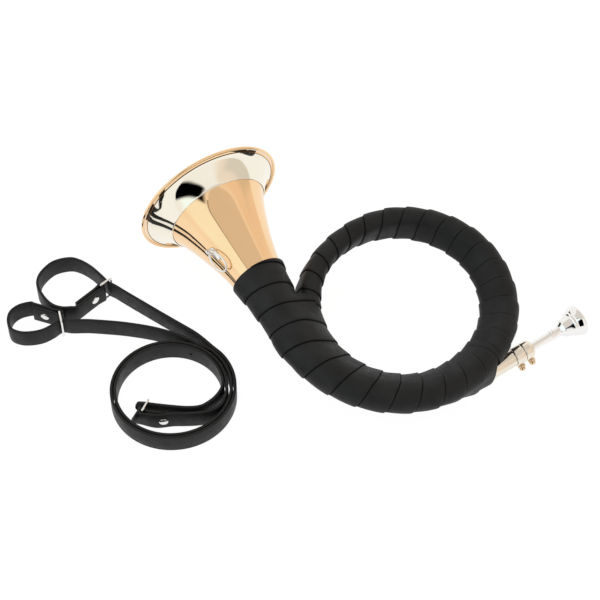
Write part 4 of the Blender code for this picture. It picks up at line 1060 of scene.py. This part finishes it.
def strap_mesh(route, folds):
    """Strap with eased edges along a route, its last end rounded."""
    points = smooth_path(route, 0.000015)
    tall = STRAP_WIDTH * 0.5
    left = 0.0
    shares = [1.0] * len(points)
    for i in range(len(points) - 2, 0, -1):
        left += (points[i + 1] - points[i]).length
        shares[i] = math.sqrt(1.0 - max(0.0, 1.0 - left / tall) ** 2)
    shares[-1] = STRAP_TIP
    outline = eased_box(STRAP_THICKNESS * 0.5, tall, STRAP_EASE, 30)
    rings = []
    for i, point in enumerate(points):
        along = points[min(i + 1, len(points) - 1)] - points[max(i - 1, 0)]
        side = Vector((along.y, -along.x, 0.0)).normalized()
        upward = sum((fold.leaning(point) for fold in folds), UP)
        middle = point + UP * tall
        rings.append([
            middle + side * across + upward * (height * shares[i]) for across, height in outline
        ])
    return loft(rings)


def dress_strap(hide, plate):
    noose = Fold(LONG_NOOSE, LONG_NOOSE[0])
    end = Fold(LONG_END, in_coil([LONG_END[0]])[0])
    second = Fold(SHORT_NOOSE, SHORT_NOOSE[0])
    route = noose.route() + lifted(LONG_LOOP, [1.0] * len(LONG_LOOP)) + [noose.passage()]
    route += lifted(LONG_STRAND, (1.0, 1.0, 0.8, 0.5, 0.2, 0.0, 0.0))
    route += coil_route(0.0, LONG_COIL_TO)
    route += lifted(in_coil(LONG_RUN_OUT), (0.2, 0.5, 0.8, 1.0)) + end.route()[::-1]
    piece("strap_long", strap_mesh(route, (noose, end)), hide, ["long_strap"],
          STRAP)
    route = second.route() + lifted(SHORT_LOOP, [1.0] * len(SHORT_LOOP)) + [second.passage()]
    route += lifted(SHORT_STRAND, (1.0, 1.0, 0.8, 0.6, 0.3, 0.1, 0.0, 0.0, 0.0))
    route += coil_route(COIL_INSET, SHORT_COIL_TO)
    route += lifted(in_coil(SHORT_RUN_OUT), (0.0, 0.2, 0.4, 0.6, 0.8, 1.0, 1.0))
    route += [end.passage()] + lifted(in_coil(SHORT_TAIL), (1.0, 1.0))
    short = piece("strap_short", strap_mesh(route, (second,)), hide,
                  ["short_strap"], STRAP)
    hole = turned(((-STRAP_THICKNESS, HOLE_RADIUS), (STRAP_THICKNESS, HOLE_RADIUS)), 24)
    middle = Vector((*coil_point(HOLE_BEARING, COIL_INSET), STRAP_WIDTH * 0.5))
    carved(short, hole, STRAP @ axis_matrix(middle, outward_at(HOLE_BEARING), UP))
    half_width = SLIDER_WIDTH * 0.5 - SLIDER_WIRE
    folds = (("a", "noose", "_1", noose), ("b", "noose", "_2", second), ("c", "length", "", end))
    for letter, first, last, fold in folds:
        upright = STRAP_WIDTH * 0.5 + SLIDER_ROOM + SLIDER_WIRE
        half_height = upright * (UP + fold.lean).length
        outline = eased_box(half_width, half_height, SLIDER_TURN, 15)
        corners = [Vector((x, 0.0, z)) for x, z in outline]
        piece("slider_" + letter, wire_loop(corners, SLIDER_WIRE, WIRE_SIDES), plate,
              [first + "_slider" + last], STRAP @ fold.slider_matrix())
    grip = STRAP_THICKNESS + GAP
    half = [
        (grip + math.sin(t) * RIVET_DOME, max(RIVET_HEAD * math.cos(t), 0.00015))
        for t in (0.0, 0.25, 0.5, 0.8, 1.1, 1.35, 1.53)
    ]
    profile = [(-d, r) for d, r in reversed(half)]
    profile += [(-grip, RIVET_RADIUS), (grip, RIVET_RADIUS)] + half
    for letter, first, last, fold in folds:
        piece("rivet_" + letter, turned(profile, 40), plate,
              [first + "_rivet" + last], STRAP @ fold.rivet_matrix())


def hidden_nodes(nodes, gold, brass):
    """The CAD pieces that stay as they are, out of sight under the leather."""
    for name, material in (("coil_tube", gold), ("bell_ferrule", gold), ("lead_ferrule", brass)):
        nodes[name].data.materials.clear()
        nodes[name].data.materials.append(material)


# Surroundings

def make_floor():
    mesh = bpy.data.meshes.new("floor")
    signs = ((-1, -1), (1, -1), (1, 1), (-1, 1))
    corners = [(FLOOR_EDGE * x, FLOOR_EDGE * y, 0.0) for x, y in signs]
    mesh.from_pydata(corners, [], [(0, 1, 2, 3)])
    floor = add_object("floor", mesh)
    floor.location.z = FLOOR_HEIGHT
    material, tree, shader = new_material("floor")
    shader.inputs["Base Color"].default_value = (0.80, 0.80, 0.80, 1.0)
    shader.inputs["Roughness"].default_value = 0.9
    glow = add_node(tree, "Emission", {"Strength": FLOOR_GLOW})
    path = add_node(tree, "LightPath", {})
    mirrored = maths(tree, 'MULTIPLY', path.outputs["Is Glossy Ray"], GLOW_TO_MIRRORS)
    share = maths(tree, 'MULTIPLY_ADD', path.outputs["Is Camera Ray"], GLOW_TO_CAMERA, mirrored)
    mix = add_node(tree, "MixShader", {
        "Fac": share, 1: shader.outputs["BSDF"], 2: glow.outputs["Emission"],
    })
    output = next(node for node in tree.nodes if node.type == 'OUTPUT_MATERIAL')
    tree.links.new(mix.outputs["Shader"], output.inputs["Surface"])
    mesh.materials.append(material)


def window(tree, value, low, high, soft):
    """One where value lies between low and high, easing to zero over soft on both sides."""
    steps = []
    for edge, sign in ((low, 1.0), (high, -1.0)):
        step = add_node(tree, "MapRange", {
            "Value": value, "From Min": edge - soft * sign, "From Max": edge + soft * sign,
        }, interpolation_type='SMOOTHSTEP')
        steps.append(step.outputs["Result"])
    return maths(tree, 'MULTIPLY', *steps)


def card(tree, under, colour, across, upward, width, height, soft):
    """Soft-edged card hung round the studio; width and height are spans in degrees."""
    sides = window(tree, across, *width, soft)
    levels = window(tree, upward, *height, soft)
    return mixed(tree, maths(tree, 'MULTIPLY', sides, levels), under, colour)


def in_degrees(tree, operation, *inputs):
    return maths(tree, 'DEGREES', maths(tree, operation, *inputs))


def make_world():
    world = bpy.data.worlds.new("studio")
    bpy.context.scene.world = world
    world.use_nodes = True
    tree = world.node_tree
    place = add_node(tree, "TexCoord", {})
    split = add_node(tree, "SeparateXYZ", {"Vector": place.outputs["Generated"]})
    across = in_degrees(tree, 'ARCTAN2', split.outputs["Y"], split.outputs["X"])
    upward = in_degrees(tree, 'ARCSINE', split.outputs["Z"])
    stops = ((0.0, (0.98, 0.96, 0.92)), (1.0, (0.98, 0.97, 0.95)))
    colour = ramp(tree, split.outputs["Z"], stops)
    for tone, width, height, soft in CARDS:
        colour = card(tree, colour, tone, across, upward, width, height, soft)
    background = tree.nodes["Background"]
    tree.links.new(colour, background.inputs["Color"])
    background.inputs["Strength"].default_value = 1.0


def add_light(name, place, size, power):
    """Area light aimed at the origin and hidden from mirrors."""
    data = bpy.data.lights.new(name, 'AREA')
    data.shape = 'RECTANGLE'
    data.size, data.size_y = size
    data.energy = power
    light = add_object(name, data)
    light.visible_glossy = False
    light.location = place
    light.rotation_euler = (-Vector(place)).to_track_quat('-Z', 'Y').to_euler()


def make_camera():
    angle = math.radians(ELEVATION)
    data = bpy.data.cameras.new("camera")
    data.lens = LENS
    data.sensor_width = SENSOR
    camera = add_object("camera", data)
    away = Vector((0.0, -math.cos(angle), math.sin(angle)))
    camera.location = Vector(TARGET) + away * DISTANCE
    camera.rotation_euler = (-away).to_track_quat('-Z', 'Y').to_euler()
    bpy.context.scene.camera = camera


def main():
    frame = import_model()
    make_camera()
    gold = polished("gold_lacquer", (0.96, 0.67, 0.39), (0.93, 0.64, 0.36), 0.035, 0.06, 0.3)
    silver = polished("nickel_silver_polish", (0.93, 0.88, 0.77), (0.90, 0.85, 0.73), 0.04, 0.07)
    plate = polished("silver_polish", (0.93, 0.92, 0.91), (0.90, 0.89, 0.88), 0.03, 0.06)
    brass = polished("bare_brass", (0.84, 0.66, 0.46), (0.76, 0.56, 0.37), 0.12, 0.22)
    wrap_hide = leather("wrap_leather", (0.0048, 0.0051, 0.0055), (0.0105, 0.0111, 0.0120),
                        0.44, 0.62, crease_shade=True)
    strap_hide = leather("strap_leather", (0.0042, 0.0044, 0.0047), (0.0090, 0.0095, 0.0102),
                         0.40, 0.58, 0.00005, 0.0003, 2000.0)
    # dark line between garland and rim wire
    dark_line = polished("dark_rim_line", (0.16, 0.09, 0.04), (0.09, 0.05, 0.02), 0.30, 0.45)
    satin = polished("nickel_silver_satin", (0.90, 0.84, 0.74), (0.86, 0.80, 0.69), 0.12, 0.18)
    dress_bell(gold, silver, dark_line)
    dress_wraps(wrap_hide)
    dress_pipe(satin, plate, brass)
    dress_ring(plate)
    dress_strap(strap_hide, plate)
    hidden_nodes(frame["nodes"], gold, brass)
    make_floor()
    make_world()
    add_light("key", (-0.6, -0.2, 1.5), (2.2, 1.8), 8.0)
    add_light("fill", (1.0, -0.8, 1.2), (1.8, 1.6), 3.5)
    add_light("back", (0.1, 1.3, 1.1), (2.4, 1.0), 4.5)
    bpy.context.scene.view_settings.view_transform = 'Standard'


main()
